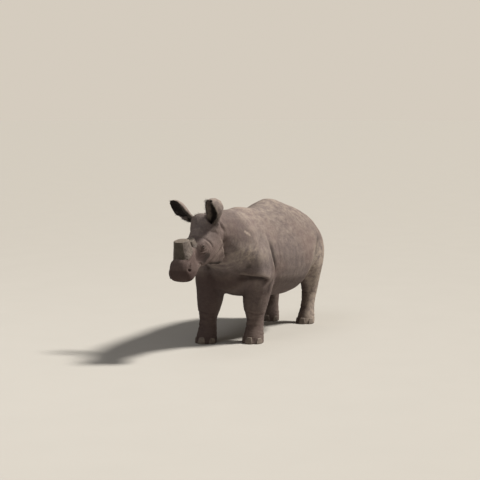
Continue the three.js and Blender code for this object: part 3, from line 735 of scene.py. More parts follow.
def hide_masks(surface):
    """Stores what the hide's material reads: the hollows, which it paints with shade; dust, a scar and painted light;
    painted deep shade inside the ears, along lines on the face and body and between the hind legs; painted shade; and
    the lips.
    """
    out = surface.normals()
    # Bend of the surface: the material paints shade into the hollows and lays pale dust on the ridges.
    size = np.linalg.norm(surface.co[surface.a] - surface.co[surface.b], axis=1).mean()
    bend = np.einsum("ij,ij->i", surface.around(surface.co) - surface.co, out) / size
    hollow = surface.spread(bend, 2)
    wide = surface.spread(bend, 14)
    hollow = np.clip(0.5 + 3.2 * hollow + 4.0 * wide, 0, 1)
    height = surface.co[:, 2]
    parts = parts_near(surface)
    length = surface.co[:, 1]
    # Dust on the upward faces from half a metre up, less on the head and neck.
    dust = smoothstep(-0.05, 1.0, out[:, 2]) * smoothstep(0.5, 1.5, height)
    dust *= 1 - 0.75 * parts["head"] - 0.75 * parts["neck"]
    # Painted light on the shoulders.
    shoulder = ((length - TRUNK_LOW.y) / 0.17) ** 2 + ((height - 1.15) / 0.12) ** 2
    dust = np.maximum(dust, 1.5 * np.exp(-shoulder) * smoothstep(0.1, 0.5, abs(out[:, 0])))
    # Painted light on the top of the rump, and on the hindquarters below it.
    hind = smoothstep(0.75, 1.05, length) * smoothstep(1.25, 0.95, height)
    dust *= 1 + 0.4 * smoothstep(0.5, 1.1, length)
    dust = np.maximum(dust, 2.0 * hind)
    dust = surface.spread(dust, 4)
    # Painted shade inside the cup of each ear.
    inner = np.zeros(len(height))
    for ear in EARS:
        facing = np.array(EAR_FACING[ear].normalized())
        low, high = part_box(ear)
        inside = np.all((surface.co > np.array(low) - 0.01) & (surface.co < np.array(high) + 0.01), axis=1)
        inner = np.maximum(inner, inside * smoothstep(0.0, 0.5, out @ facing))
    inner = surface.spread(inner * parts["ears"], 2)
    local = in_head_frame(surface.co)
    ahead, above = -local[:, 1], local[:, 2]
    # Painted light on the cheeks.
    cheek = ((ahead - 0.22) / 0.1) ** 2 + ((above + 0.27) / 0.13) ** 2
    dust += 0.45 * np.exp(-cheek) * parts["head"]
    # Dark lips, with painted shade on the lower front of the muzzle.
    lips = parts["head"] * smoothstep(0.7, 0.85, ahead) * smoothstep(0.012, -0.012, above + 0.003 + 0.68 * (0.967 - ahead))
    tree = surface.tree()
    scar = Sculpt(surface, 1.0)
    scar.stroke(on_body(tree, 1, SCAR), 0.0145, -1.0, 0.0, None, 0.12)
    dust += 3.5 * scar.shift
    # Painted shadow along the lines on the face and body, and under the shoulders.
    marker = Sculpt(surface, 1.0)
    for side in SIDES.values():
        for line, width, strength in FACE_SHADOW_LINES:
            marker.stroke(on_head(tree, side, line), width, -strength, 0.0, None, 0.25)
        for line, width, strength in BODY_SHADOW_LINES:
            marker.stroke(on_body(tree, side, line), width, -strength, 0.0, None, 0.25)
        under = [(side * x, TRUNK_LOW.y + y, z) for x, y, z in SHADOW_UNDER_SHOULDER]
        marker.stroke(under, 0.032, -0.9, 0.0, None, 0.15)
    pit = np.clip(marker.shift, 0, 0.92)
    # A paler band round the border of each ear's dark inner side.
    dust += 2.2 * 4 * inner * (1 - inner) * parts["ears"]
    # Painted shade: on the snout's sides, the sides of the head, the front of the neck, the brow, beside the nose
    # below the eye, the underside, between the hind legs, the lower forequarters, the chest and the flanks.
    shade = 0.85 * parts["head"] * smoothstep(0.56, 0.72, ahead) * smoothstep(0.16, 0.06, above)
    shade = np.maximum(shade, 0.26 * parts["head"] * smoothstep(0.3, 0.8, abs(out[:, 0])))
    front = smoothstep(-0.36, -0.6, length) * smoothstep(1.2, 1.35, height) * (1 - parts["head"] - parts["ears"])
    shade = np.maximum(shade, front * (0.38 + 0.2 * smoothstep(0.3, 0.9, abs(out[:, 0]))))
    brow = ((ahead - 0.46) / 0.11) ** 2 + ((above - 0.03) / 0.09) ** 2
    shade = np.maximum(shade, 0.4 * np.exp(-(brow**2)) * parts["head"])
    beside_nose = ((ahead - 0.56) / 0.11) ** 2 + ((above + 0.06) / 0.12) ** 2
    shade = np.maximum(shade, 0.85 * np.exp(-(beside_nose**2)) * parts["head"])
    under = smoothstep(0.3, -0.6, out[:, 2]) * smoothstep(1.15, 0.7, height)
    shade = np.maximum(shade, 0.5 * under * (1 - 0.8 * hind))
    # Painted shade on the inner fronts of the hind legs, with painted deep shade lower down.
    between = smoothstep(0.33, 0.26, abs(surface.co[:, 0])) * smoothstep(0.9, 1.1, length)
    between *= smoothstep(1.0, 0.8, height)
    shade = np.maximum(shade, 0.85 * between)
    pit = np.maximum(pit, 0.45 * between * smoothstep(0.3, 0.45, height))
    shade = np.maximum(shade, 0.6 * smoothstep(1.0, 0.6, height) * smoothstep(0.3, -0.1, length))
    shade = np.maximum(shade, 0.9 * smoothstep(1.0, 0.8, height) * smoothstep(-0.34, -0.5, length))
    shade = np.maximum(shade, 0.3 * smoothstep(0.2, 0.8, abs(out[:, 0])) * smoothstep(-0.3, 0.1, length) * (1 - hind))
    mesh = surface.mesh
    store(mesh, "hollow", hollow)
    store(mesh, "dust", dust)
    store(mesh, "pit", np.maximum(inner, pit))
    store(mesh, "lips", surface.spread(lips, 1))
    store(mesh, "shade", surface.spread(shade, 6) * (1 - np.clip(scar.shift, 0, 1)))


def build_hide():
    """The whole skin in one piece."""
    sizes = bpy.context.scene.rhino_hide
    parts = [merged_copy(node, 0.0012) for node in FLESH]
    parts += [merged_copy(f"eye_{side}", 0.0015) for side in SIDES]
    parts += [clamp_horn("horn_front", 0.105), clamp_horn("horn_rear", 0.07)]
    parts += [sunk_nail(node) for node in NAILS]
    mesh = voxel_mesh("hide", parts, sizes.grid)
    surface = Surface(mesh)
    found = parts_near(surface)
    share = 1 - 0.72 * found["head"] - 0.93 * found["ears"] - 0.35 * found["legs"] - 0.7 * found["tail"]
    share *= 0.25 + 0.75 * smoothstep(0.02, 0.14, surface.co[:, 2])
    flat = surface.co[:, 2] < 0.004
    surface.fair(110, np.clip(share, 0.04, 1), 160)
    surface.co[flat, 2] = 0
    surface.co[:, 2] = np.maximum(surface.co[:, 2], 0)
    surface.save()

    wanted = (found["head"] + found["ears"]) > 0.35
    surface = Surface(finer(mesh, wanted))
    close = np.zeros(len(surface.co), bool)
    for side in SIDES:
        centre = np.array(middle_of(f"eye_{side}"))
        close |= np.linalg.norm(surface.co - centre, axis=1) < 0.06
    surface = Surface(finer(mesh, close))
    found = parts_near(surface)
    surface.smooth(4, 0.6 * found["head"])

    sculpt = Sculpt(surface, sizes.relief)
    tree = surface.tree()
    body_folds(sculpt, tree)
    neck_folds(sculpt, tree)
    leg_folds(sculpt, tree)
    head_folds(sculpt, tree)
    sculpt.apply()
    wrinkles(sculpt, found)
    sculpt.shift *= smoothstep(0.0, 0.05, surface.co[:, 2])
    sculpt.apply()
    for side in SIDES:
        eye_opening(surface, side)
    surface.co[:, 2] = np.maximum(surface.co[:, 2], 0)
    surface.save()

    eyes = np.zeros(len(surface.co))
    for side in SIDES:
        centre = np.array(middle_of(f"eye_{side}"))
        eyes += smoothstep(0.075, 0.05, np.linalg.norm(surface.co - centre, axis=1))
    keep = np.clip(0.6 * found["head"] + 0.5 * found["ears"] + eyes, 0, 1)
    mesh = thinned(mesh, keep, sizes.triangles)
    mesh.name = "hide"
    hide_masks(Surface(mesh))
    shade_smooth(mesh)
    hide = link("hide", mesh)
    mesh.materials.append(hide_material())
    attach(hide, "root")
    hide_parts(*FLESH)
    return hide


# ---------------------------------------------------------------- shader groups


def new_group(name, inputs, outputs):
    """A shader node group with its own input and output nodes. inputs and outputs: (name, kind, default)."""
    group = bpy.data.node_groups.new(name, "ShaderNodeTree")
    for title, kind, default in inputs:
        socket = group.interface.new_socket(name=title, in_out="INPUT", socket_type=kind)
        if default is not None:
            socket.default_value = default
    for title, kind in outputs:
        group.interface.new_socket(name=title, in_out="OUTPUT", socket_type=kind)
    return group, group.nodes.new("NodeGroupInput"), group.nodes.new("NodeGroupOutput")


def add(tree, kind, settings=None, **inputs):
    """A node with its settings; each input is a value or another node's output socket."""
    made = tree.nodes.new(kind)
    for name, value in (settings or {}).items():
        setattr(made, name, value)
    for name, value in inputs.items():
        key = int(name[1:]) if name[1:].isdigit() else name.replace("_", " ")
        socket = made.inputs[key]
        if isinstance(value, bpy.types.NodeSocket):
            tree.links.new(value, socket)
        else:
            socket.default_value = value
    return made


def mixed(tree, share, first, second, blend="MIX"):
    """A mix of two colours."""
    settings = {"data_type": "RGBA", "blend_type": blend}
    made = add(tree, "ShaderNodeMix", settings, i0=share, i6=first, i7=second)
    return made.outputs[2]


def maths(tree, operation, first, second=0.0, third=0.0, clamp=False):
    settings = {"operation": operation, "use_clamp": clamp}
    return add(tree, "ShaderNodeMath", settings, i0=first, i1=second, i2=third).outputs[0]


def ranged(tree, value, low, high, to_low=0.0, to_high=1.0):
    made = add(tree, "ShaderNodeMapRange", {"interpolation_type": "SMOOTHSTEP"})
    for key, given in ((0, value), (1, low), (2, high), (3, to_low), (4, to_high)):
        if isinstance(given, bpy.types.NodeSocket):
            tree.links.new(given, made.inputs[key])
        else:
            made.inputs[key].default_value = given
    return made.outputs[0]


def crackle_group():
    """Dry cracked cells of two sizes. Gives a height and a mask that is 1 in the cracks."""
    name = "Cracked skin"
    if name in bpy.data.node_groups:
        return bpy.data.node_groups[name]
    group, given, result = new_group(
        name,
        [
            ("Vector", "NodeSocketVector", None),
            ("Cells", "NodeSocketFloat", 30.0),
            ("Warp", "NodeSocketFloat", 0.012),
        ],
        [("Height", "NodeSocketFloat"), ("Cracks", "NodeSocketFloat"), ("Shade", "NodeSocketFloat")],
    )
    drift = add(group, "ShaderNodeTexNoise", None, Vector=given.outputs["Vector"], Scale=14.0, Detail=3.0)
    centred = add(group, "ShaderNodeVectorMath", {"operation": "SUBTRACT"}, i0=drift.outputs["Color"], i1=(0.5,) * 3)
    warp = add(group, "ShaderNodeVectorMath", {"operation": "SCALE"}, i0=centred.outputs[0])
    group.links.new(given.outputs["Warp"], warp.inputs["Scale"])
    place = add(group, "ShaderNodeVectorMath", {"operation": "ADD"}, i0=given.outputs["Vector"], i1=warp.outputs[0])
    heights = []
    for factor, size in ((1.0, 0.16), (2.6, 0.2)):
        cells = maths(group, "MULTIPLY", given.outputs["Cells"], factor)
        settings = {"feature": "DISTANCE_TO_EDGE"}
        edges = add(group, "ShaderNodeTexVoronoi", settings, Vector=place.outputs[0], Scale=cells)
        heights.append(ranged(group, edges.outputs["Distance"], 0.0, size))
    grain = add(group, "ShaderNodeTexNoise", None, Vector=given.outputs["Vector"], Scale=260.0, Detail=4.0)
    both = maths(group, "MULTIPLY_ADD", heights[1], 0.45, maths(group, "MULTIPLY", heights[0], 0.42))
    total = maths(group, "MULTIPLY_ADD", grain.outputs[0], 0.22, both)
    group.links.new(total, result.inputs["Height"])
    plates = add(group, "ShaderNodeTexVoronoi", None, Vector=place.outputs[0])
    group.links.new(given.outputs["Cells"], plates.inputs["Scale"])
    own = add(group, "ShaderNodeSeparateColor", None, Color=plates.outputs["Color"])
    group.links.new(own.outputs["Red"], result.inputs["Shade"])
    deep = maths(group, "MULTIPLY", heights[0], ranged(group, heights[1], 0.0, 1.0, 0.6, 1.0))
    group.links.new(maths(group, "SUBTRACT", 1.0, deep, clamp=True), result.inputs["Cracks"])
    return group


def fibre_group():
    """Fine fibres that run along one axis. Gives a height and a mask that is 1 between fibres."""
    name = "Packed fibre"
    if name in bpy.data.node_groups:
        return bpy.data.node_groups[name]
    group, given, result = new_group(
        name,
        [("Vector", "NodeSocketVector", None), ("Fibres", "NodeSocketFloat", 220.0)],
        [("Height", "NodeSocketFloat"), ("Between", "NodeSocketFloat")],
    )
    strands = add(
        group,
        "ShaderNodeTexNoise",
        None,
        Vector=given.outputs["Vector"],
        Scale=given.outputs["Fibres"],
        Detail=5.0,
        Roughness=0.6,
    )
    broad = maths(group, "MULTIPLY", given.outputs["Fibres"], 0.3)
    bands = add(group, "ShaderNodeTexNoise", None, Vector=given.outputs["Vector"], Scale=broad, Detail=2.0)
    height = maths(group, "MULTIPLY_ADD", bands.outputs[0], 0.6, strands.outputs[0])
    group.links.new(height, result.inputs["Height"])
    group.links.new(ranged(group, strands.outputs[0], 0.52, 0.34), result.inputs["Between"])
    return group


def dust_group():
    """Patchy pale dust over a colour; on the hide, its amount also paints light."""
    name = "Dust"
    if name in bpy.data.node_groups:
        return bpy.data.node_groups[name]
    group, given, result = new_group(
        name,
        [
            ("Vector", "NodeSocketVector", None),
            ("Base", "NodeSocketColor", None),
            ("Dust colour", "NodeSocketColor", None),
            ("Amount", "NodeSocketFloat", 0.5),
        ],
        [("Color", "NodeSocketColor"), ("Mask", "NodeSocketFloat")],
    )
    patches = add(
        group, "ShaderNodeTexNoise", None, Vector=given.outputs["Vector"], Scale=13.0, Detail=9.0, Roughness=0.76
    )
    patchy = ranged(group, patches.outputs[0], 0.36, 0.66)
    mask = maths(group, "MULTIPLY", patchy, given.outputs["Amount"], clamp=True)
    colour = mixed(group, mask, given.outputs["Base"], given.outputs["Dust colour"])
    group.links.new(colour, result.inputs["Color"])
    group.links.new(mask, result.inputs["Mask"])
    return group


def placed(tree, group, **inputs):
    """A group node in a material."""
    made = tree.nodes.new("ShaderNodeGroup")
    made.node_tree = group
    for name, value in inputs.items():
        socket = made.inputs[name.replace("_", " ")]
        if isinstance(value, bpy.types.NodeSocket):
            tree.links.new(value, socket)
        else:
            socket.default_value = value
    return made


def new_material(name, **constants):
    """A material with a Principled shader; constants are its plain values."""
    material = bpy.data.materials.new(name)
    material.use_nodes = True
    tree = material.node_tree
    shader = tree.nodes["Principled BSDF"]
    for key, value in constants.items():
        shader.inputs[key.replace("_", " ")].default_value = value
    place = tree.nodes.new("ShaderNodeTexCoord").outputs["Object"]
    return material, tree, shader, place


def attribute(tree, name):
    return add(tree, "ShaderNodeAttribute", {"attribute_name": name}).outputs["Fac"]


def solid_colour(values):
    return (*values, 1.0)


# ---------------------------------------------------------------- materials


def hide_material():
    colours = bpy.context.scene.rhino_hide
    material, tree, shader, place = new_material("Dry hide", Specular_IOR_Level=0.28)
    skin = placed(tree, crackle_group(), Vector=place, Cells=66.0, Warp=0.05)
    mottle = add(tree, "ShaderNodeTexNoise", None, Vector=place, Scale=9.0, Detail=8.0, Roughness=0.74)
    warm = add(tree, "ShaderNodeTexNoise", None, Vector=place, Scale=1.4, Detail=3.0)
    base = solid_colour(colours.colour)
    darker = solid_colour([value * 0.78 for value in colours.colour])
    redder = solid_colour((colours.colour[0] * 1.12, colours.colour[1] * 0.96, colours.colour[2] * 0.88))
    colour = mixed(tree, ranged(tree, mottle.outputs[0], 0.35, 0.65), darker, base)
    colour = mixed(tree, ranged(tree, warm.outputs[0], 0.42, 0.66, 0.0, 0.6), colour, redder)
    # Pale dust, a pale scar, and painted light on the shoulders, cheeks, rump and hindquarters.
    dusty = placed(
        tree,
        dust_group(),
        Vector=place,
        Base=colour,
        Dust_colour=solid_colour(colours.dust_and_painted_light_colour),
        Amount=maths(tree, "MULTIPLY_ADD", attribute(tree, "dust"), 0.75, 0.16),
    )
    crack_and_shade = solid_colour(colours.crack_and_shade_colour)
    depth = ranged(tree, mottle.outputs[0], 0.34, 0.68, 0.08, 0.32)
    colour = mixed(tree, maths(tree, "MULTIPLY", skin.outputs["Cracks"], depth), dusty.outputs["Color"], crack_and_shade)
    light_plate = maths(tree, "MULTIPLY_ADD", skin.outputs["Shade"], 0.22, 0.87)
    speckled = add(tree, "ShaderNodeVectorMath", {"operation": "SCALE"}, i0=colour)
    tree.links.new(light_plate, speckled.inputs["Scale"])
    colour = speckled.outputs[0]
    # Painted shade in the hollows of the folds, and pale dust on the ridges.
    hollow = attribute(tree, "hollow")
    colour = mixed(tree, ranged(tree, hollow, 0.52, 0.95, 0.0, 0.85), colour, crack_and_shade)
    pale = solid_colour([value * 1.05 for value in colours.dust_and_painted_light_colour])
    colour = mixed(tree, ranged(tree, hollow, 0.46, 0.12, 0.0, 0.4), colour, pale)
    # Painted deep shade: inside the ears, along the shadow lines, under the shoulders and between the hind legs.
    inner = solid_colour([value * 0.3 for value in colours.crack_and_shade_colour])
    colour = mixed(tree, maths(tree, "MULTIPLY", attribute(tree, "pit"), 0.95), colour, inner)
    # Painted shade over the hide.
    dark = solid_colour(colours.dark_colour)
    colour = mixed(tree, maths(tree, "MULTIPLY", attribute(tree, "shade"), 0.9), colour, dark)
    # Dark lips, with painted shade on the lower front of the muzzle.
    colour = mixed(tree, maths(tree, "MULTIPLY", attribute(tree, "lips"), 0.85), colour, dark)
    tree.links.new(colour, shader.inputs["Base Color"])
    tree.links.new(ranged(tree, mottle.outputs[0], 0.3, 0.7, 0.78, 0.95), shader.inputs["Roughness"])
    bump = add(tree, "ShaderNodeBump", None, Strength=0.6, Distance=0.0022, Height=skin.outputs["Height"])
    tree.links.new(bump.outputs[0], shader.inputs["Normal"])
    return material


def horn_material(name, colour, cut, fibres, turn, stretch, front_shade_strength=0.0):
    """Horn: fibres along a turned Z axis, dark between them, with pale dust, painted shade on the side facing ahead
    and a paler cut.
    """
    dust = bpy.context.scene.rhino_hide.dust_and_painted_light_colour
    material, tree, shader, place = new_material(name, Specular_IOR_Level=0.4)
    lined = add(tree, "ShaderNodeMapping", {"vector_type": "TEXTURE"}, Vector=place)
    lined.inputs["Rotation"].default_value = turn
    lined.inputs["Scale"].default_value = (1, 1, stretch)
    fibre = placed(tree, fibre_group(), Vector=lined.outputs[0], Fibres=fibres)
    dark = solid_colour([value * 0.42 for value in colour])
    base = mixed(tree, fibre.outputs["Between"], solid_colour(colour), dark)
    patch = add(tree, "ShaderNodeTexNoise", None, Vector=place, Scale=16.0, Detail=5.0)
    base = mixed(tree, ranged(tree, patch.outputs[0], 0.4, 0.68, 0.0, 0.35), base, dark)
    rings = add(tree, "ShaderNodeTexNoise", None, Vector=place, Scale=120.0, Detail=6.0)
    sawn = mixed(tree, ranged(tree, rings.outputs[0], 0.4, 0.62), solid_colour(cut), dark)
    base = mixed(tree, attribute(tree, "cut"), base, sawn)
    dusty = placed(tree, dust_group(), Vector=place, Base=base, Dust_colour=solid_colour(dust), Amount=0.35)
    finish = dusty.outputs["Color"]
    # Painted shade on the side of the horn that faces ahead.
    if front_shade_strength:
        stain = solid_colour((0.036, 0.027, 0.016))
        finish = mixed(tree, maths(tree, "MULTIPLY", attribute(tree, "stain"), front_shade_strength), finish, stain)
    tree.links.new(finish, shader.inputs["Base Color"])
    tree.links.new(ranged(tree, fibre.outputs["Between"], 0.0, 1.0, 0.62, 0.85), shader.inputs["Roughness"])
    bump = add(tree, "ShaderNodeBump", None, Strength=0.6, Distance=0.0025, Height=fibre.outputs["Height"])
    tree.links.new(bump.outputs[0], shader.inputs["Normal"])
    return material


def eye_material():
    eye = bpy.context.scene.rhino_eyes
    material, tree, shader, _ = new_material(
        "Wet eye", Roughness=0.25, Coat_Weight=0.6, Coat_Roughness=0.05, Specular_IOR_Level=0.3
    )
    place = attribute(tree, "from_pupil")
    iris = solid_colour([value * 0.6 for value in eye.colour])
    black = (0.002, 0.002, 0.002, 1.0)
    white = (0.09, 0.06, 0.045, 1.0)
    colour = mixed(tree, ranged(tree, place, 0.3, 0.42), black, iris)
    colour = mixed(tree, ranged(tree, place, 0.88, 1.0), colour, black)
    colour = mixed(tree, ranged(tree, place, 1.04, 1.2), colour, white)
    tree.links.new(colour, shader.inputs["Base Color"])
    return material


def hair_material():
    colour = bpy.context.scene.rhino_hair.colour
    material, tree, shader, place = new_material("Coarse hair", Roughness=0.55, Specular_IOR_Level=0.3)
    shade = add(tree, "ShaderNodeTexNoise", None, Vector=place, Scale=90.0, Detail=2.0)
    pale = solid_colour([min(1, value * 4.2) for value in colour])
    mixed_colour = mixed(tree, ranged(tree, shade.outputs[0], 0.4, 0.7, 0.0, 0.55), solid_colour(colour), pale)
    tree.links.new(mixed_colour, shader.inputs["Base Color"])
    return material


# ---------------------------------------------------------------- horns and nails


def build_horn(node, top):
    """A horn stump: fibrous grooves down its sides, a ragged flare at its foot and a flat sawn top."""
    sizes = bpy.context.scene.rhino_horns
    mesh = voxel_mesh(node, [merged_copy(node)], sizes.grid)
    surface = Surface(mesh)
    inverse = np.array(HEAD.inverted())
    local = surface.co @ inverse[:3, :3].T + inverse[:3, 3]
    out = surface.normals()
    head_out = out @ np.array(HEAD.to_3x3())
    cap = smoothstep(0.55, 0.85, head_out[:, 2])
    surface.smooth(14, 1 - 0.85 * surface.spread(cap, 2))
    out = surface.normals()
    local = surface.co @ inverse[:3, :3].T + inverse[:3, 3]
    sides = 1 - surface.spread(cap, 2)
    grooves = noise_at(local, 62, (1, 1, 0.1), 3) + 0.6 * noise_at(local, 150, (1, 1, 0.07), 2, 5.0)
    height = smoothstep(local[:, 2].min(), local[:, 2].max(), local[:, 2])
    flare = 0.012 * (1 - height) ** 3 * (0.7 + 0.6 * noise_at(local, 30, (1, 1, 0.5), 2, 9.0))
    saw = noise_at(local, 60, (1.0, 0.12, 1.0), 2, 3.0)
    surface.co += out * (sides * (sizes.fibre * grooves + flare) + 0.0008 * cap * saw)[:, None]
    surface.save()
    store(mesh, "cut", surface.spread(cap, 1) * top)
    # Painted shade on the side of the horn that faces ahead, with a ragged border.
    ragged = 0.12 * noise_at(local, 26, (1, 1, 0.4), 3, 7.0)
    store(mesh, "stain", smoothstep(0.5, 0.85, ragged - head_out[:, 1]))
    shade_smooth(mesh)
    horn = link(node + "_fibrous", mesh)
    turn = (NOSE_DOWN, 0.0, 0.0)
    mesh.materials.append(horn_material(f"Sawn {node}", sizes.colour, sizes.cut_colour, 240.0, turn, 9.0, 0.8))
    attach(horn, "root")
    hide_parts(node)
    return horn


def build_nails():
    """All toenails as one piece: curved plates with growth ridges and worn lower edges."""
    sizes = bpy.context.scene.rhino_horns
    mesh = voxel_mesh("toenails", [merged_copy(node, 0.0005) for node in NAILS], 0.003)
    surface = Surface(mesh)
    surface.smooth(16, np.full(len(surface.co), 0.9))
    out = surface.normals()
    ridges = noise_at(surface.co, 70, (0.25, 0.25, 1.6), 2)
    grain = noise_at(surface.co, 34, octaves=3, offset=4.0)
    surface.co += out * (0.0016 + 0.0009 * ridges + 0.0012 * grain)[:, None]
    surface.co[:, 2] = np.maximum(surface.co[:, 2], 0.001)
    surface.save()
    store(mesh, "cut", smoothstep(0.02, 0.004, surface.co[:, 2]))
    shade_smooth(mesh)
    nails = link("toenails", mesh)
    colour, cut = sizes.nail_colour, [value * 1.3 for value in sizes.nail_colour]
    mesh.materials.append(horn_material("Worn nail", colour, cut, 160.0, (0.0, 0.0, 0.0), 5.0))
    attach(nails, "root")
    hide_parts(*NAILS)
    return nails


# ---------------------------------------------------------------- eyes


def build_eye(side_name):
    """A smooth eyeball in place of its faceted solid, with the cornea's slight bulge."""
    side = SIDES[side_name]
    eye = bpy.context.scene.rhino_eyes
    node = f"eye_{side_name}"
    low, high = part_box(node)
    centre, radius = middle_of(node), (high.x - low.x) / 2
    looks = HEAD.to_3x3() @ Vector((side, -0.42, 0.06)).normalized()
    ball = bmesh.new()
    bmesh.ops.create_uvsphere(ball, u_segments=64, v_segments=40, radius=radius)
    turned = looks.to_track_quat("Z", "Y").to_matrix().to_4x4()
    from_pupil = []
    for vertex in ball.verts:
        aside = math.hypot(vertex.co.x, vertex.co.y) if vertex.co.z > 0 else 10.0
        from_pupil.append(aside / eye.iris)
        vertex.co *= 1 + 0.05 * max(0.0, 1 - (aside / (1.15 * eye.iris)) ** 2)
    ball.transform(Matrix.Translation(centre) @ turned)
    mesh = bpy.data.meshes.new(node + "_ball")
    ball.to_mesh(mesh)
    ball.free()
    store(mesh, "from_pupil", from_pupil)
    shade_smooth(mesh)
    made = link(node + "_ball", mesh)
    mesh.materials.append(bpy.data.materials.get("Wet eye") or eye_material())
    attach(made, "root")
    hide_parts(node)
    return made


# ---------------------------------------------------------------- hair


def hair_tree(material, thickness, bend):
    """Geometry Nodes: a bent, tapering hair on each point, along its direction, with a small UV patch at its root."""
    tree = bpy.data.node_groups.new("Hair on points", "GeometryNodeTree")
    face = tree.interface
    face.new_socket(name="Geometry", in_out="INPUT", socket_type="NodeSocketGeometry")
    for name, value in (("Thickness", thickness), ("Bend", bend), ("Patch", 0.003)):
        face.new_socket(name=name, in_out="INPUT", socket_type="NodeSocketFloat").default_value = value
    face.new_socket(name="Seed", in_out="INPUT", socket_type="NodeSocketInt")
    face.new_socket(name="Geometry", in_out="OUTPUT", socket_type="NodeSocketGeometry")
    given, result = tree.nodes.new("NodeGroupInput"), tree.nodes.new("NodeGroupOutput")

    bow = add(tree, "GeometryNodeCurveQuadraticBezier", None, Resolution=4)
    bow.inputs["Start"].default_value = (0, 0, 0)
    bow.inputs["Middle"].default_value = (0, 0, 0.55)
    tip = add(tree, "ShaderNodeCombineXYZ", None, X=given.outputs["Bend"], Z=1.0)
    tree.links.new(tip.outputs[0], bow.inputs["End"])
    length = tree.nodes.new("GeometryNodeSplineParameter")
    taper = ranged(tree, length.outputs["Factor"], 0.0, 1.0, 1.0, 0.12)
    radius = add(tree, "GeometryNodeSetCurveRadius", None, Curve=bow.outputs[0], Radius=taper)
    section = add(tree, "GeometryNodeCurvePrimitiveCircle", None, Resolution=3, Radius=given.outputs["Thickness"])
    hair = add(tree, "GeometryNodeCurveToMesh", None, Curve=radius.outputs[0], Profile_Curve=section.outputs[0])
    hair.inputs["Fill Caps"].default_value = True
    if "Scale" in hair.inputs:
        tree.links.new(taper, hair.inputs["Scale"])
    shape = add(tree, "GeometryNodeCaptureAttribute", {"domain": "POINT"}, Geometry=hair.outputs[0])
    shape.capture_items.new("VECTOR", "Shape")
    position = tree.nodes.new("GeometryNodeInputPosition")
    tree.links.new(position.outputs[0], shape.inputs["Shape"])

    def named(name, kind):
        return add(tree, "GeometryNodeInputNamedAttribute", {"data_type": kind}, Name=name).outputs[0]

    upright = add(tree, "FunctionNodeAlignRotationToVector", {"axis": "Z"}, Vector=named("direction", "FLOAT_VECTOR"))
    spin = add(tree, "FunctionNodeRandomValue", {"data_type": "FLOAT"}, i2=0.0, i3=2 * math.pi)
    tree.links.new(given.outputs["Seed"], spin.inputs["Seed"])
    turn = add(tree, "ShaderNodeCombineXYZ", None, Z=spin.outputs[1])
    rotation = add(tree, "FunctionNodeRotateRotation", {"rotation_space": "LOCAL"}, Rotation=upright.outputs[0])
    tree.links.new(turn.outputs[0], rotation.inputs["Rotate By"])
    spread = add(
        tree,
        "GeometryNodeInstanceOnPoints",
        None,
        Points=given.outputs["Geometry"],
        Instance=shape.outputs[0],
        Rotation=rotation.outputs[0],
    )
    tree.links.new(named("length", "FLOAT"), spread.inputs["Scale"])
    real = add(tree, "GeometryNodeRealizeInstances", None, Geometry=spread.outputs[0])
    offset = add(tree, "ShaderNodeVectorMath", {"operation": "SCALE"}, i0=shape.outputs["Shape"])
    tree.links.new(given.outputs["Patch"], offset.inputs["Scale"])
    split = add(tree, "ShaderNodeSeparateXYZ", None, Vector=offset.outputs[0])
    flat = add(tree, "ShaderNodeCombineXYZ", None, X=split.outputs["Z"], Y=split.outputs["X"])
    patch = add(
        tree, "ShaderNodeVectorMath", {"operation": "ADD"}, i0=named("root_uv", "FLOAT_VECTOR"), i1=flat.outputs[0]
    )
    settings = {"data_type": "FLOAT2", "domain": "CORNER"}
    mapped = add(tree, "GeometryNodeStoreNamedAttribute", settings, Geometry=real.outputs[0], Name="OFBake")
    tree.links.new(patch.outputs[0], mapped.inputs["Value"])
    smooth = add(tree, "GeometryNodeSetShadeSmooth", None, Geometry=mapped.outputs[0])
    painted = add(tree, "GeometryNodeSetMaterial", None, Geometry=smooth.outputs[0], Material=material)
    tree.links.new(painted.outputs[0], result.inputs[0])
    return tree


def unwrapped(place):
    """A place on the hide as a place on its unwrap: round the body's long axis, and along it."""
    middle = (TRUNK_LOW.z + TRUNK_HIGH.z) / 2
    around = math.atan2(place.x, place.z - middle) / (2 * math.pi) + 0.5
    along = (place.y - NOSE) / (RUMP - NOSE)
    return (min(max(around, 0.01), 0.99), min(max(along, 0.01), 0.99), 0.0)


def build_hair(name, roots, thickness, bend):
    """One piece of hair; roots are (place, direction, length)."""
    seed = bpy.context.scene.rhino_hair.seed
    material = bpy.data.materials.get("Coarse hair") or hair_material()
    points = bpy.data.meshes.new(name)
    points.from_pydata([place for place, _, _ in roots], [], [])
    for title, kind, values in (
        ("direction", "FLOAT_VECTOR", [direction.normalized() for _, direction, _ in roots]),
        ("root_uv", "FLOAT_VECTOR", [unwrapped(place) for place, _, _ in roots]),
    ):
        made = points.attributes.new(title, kind, "POINT")
        made.data.foreach_set("vector", np.array([tuple(value) for value in values], np.float32).ravel())
    store(points, "length", [length for _, _, length in roots])
    block = link(name, points)
    modifier = block.modifiers.new("Hair", "NODES")
    modifier.node_group = hair_tree(material, thickness, bend)
    sockets = {item.name: item.identifier for item in modifier.node_group.interface.items_tree if item.in_out == "INPUT"}
    modifier[sockets["Seed"]] = seed
    mesh = evaluated_mesh(block)
    mesh.name = name
    for title in ("direction", "root_uv", "length"):
        if title in mesh.attributes:
            mesh.attributes.remove(mesh.attributes[title])
    if material.name not in mesh.materials:
        mesh.materials.append(material)
    hair = link(name, mesh)
    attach(hair, "root")
    return hair


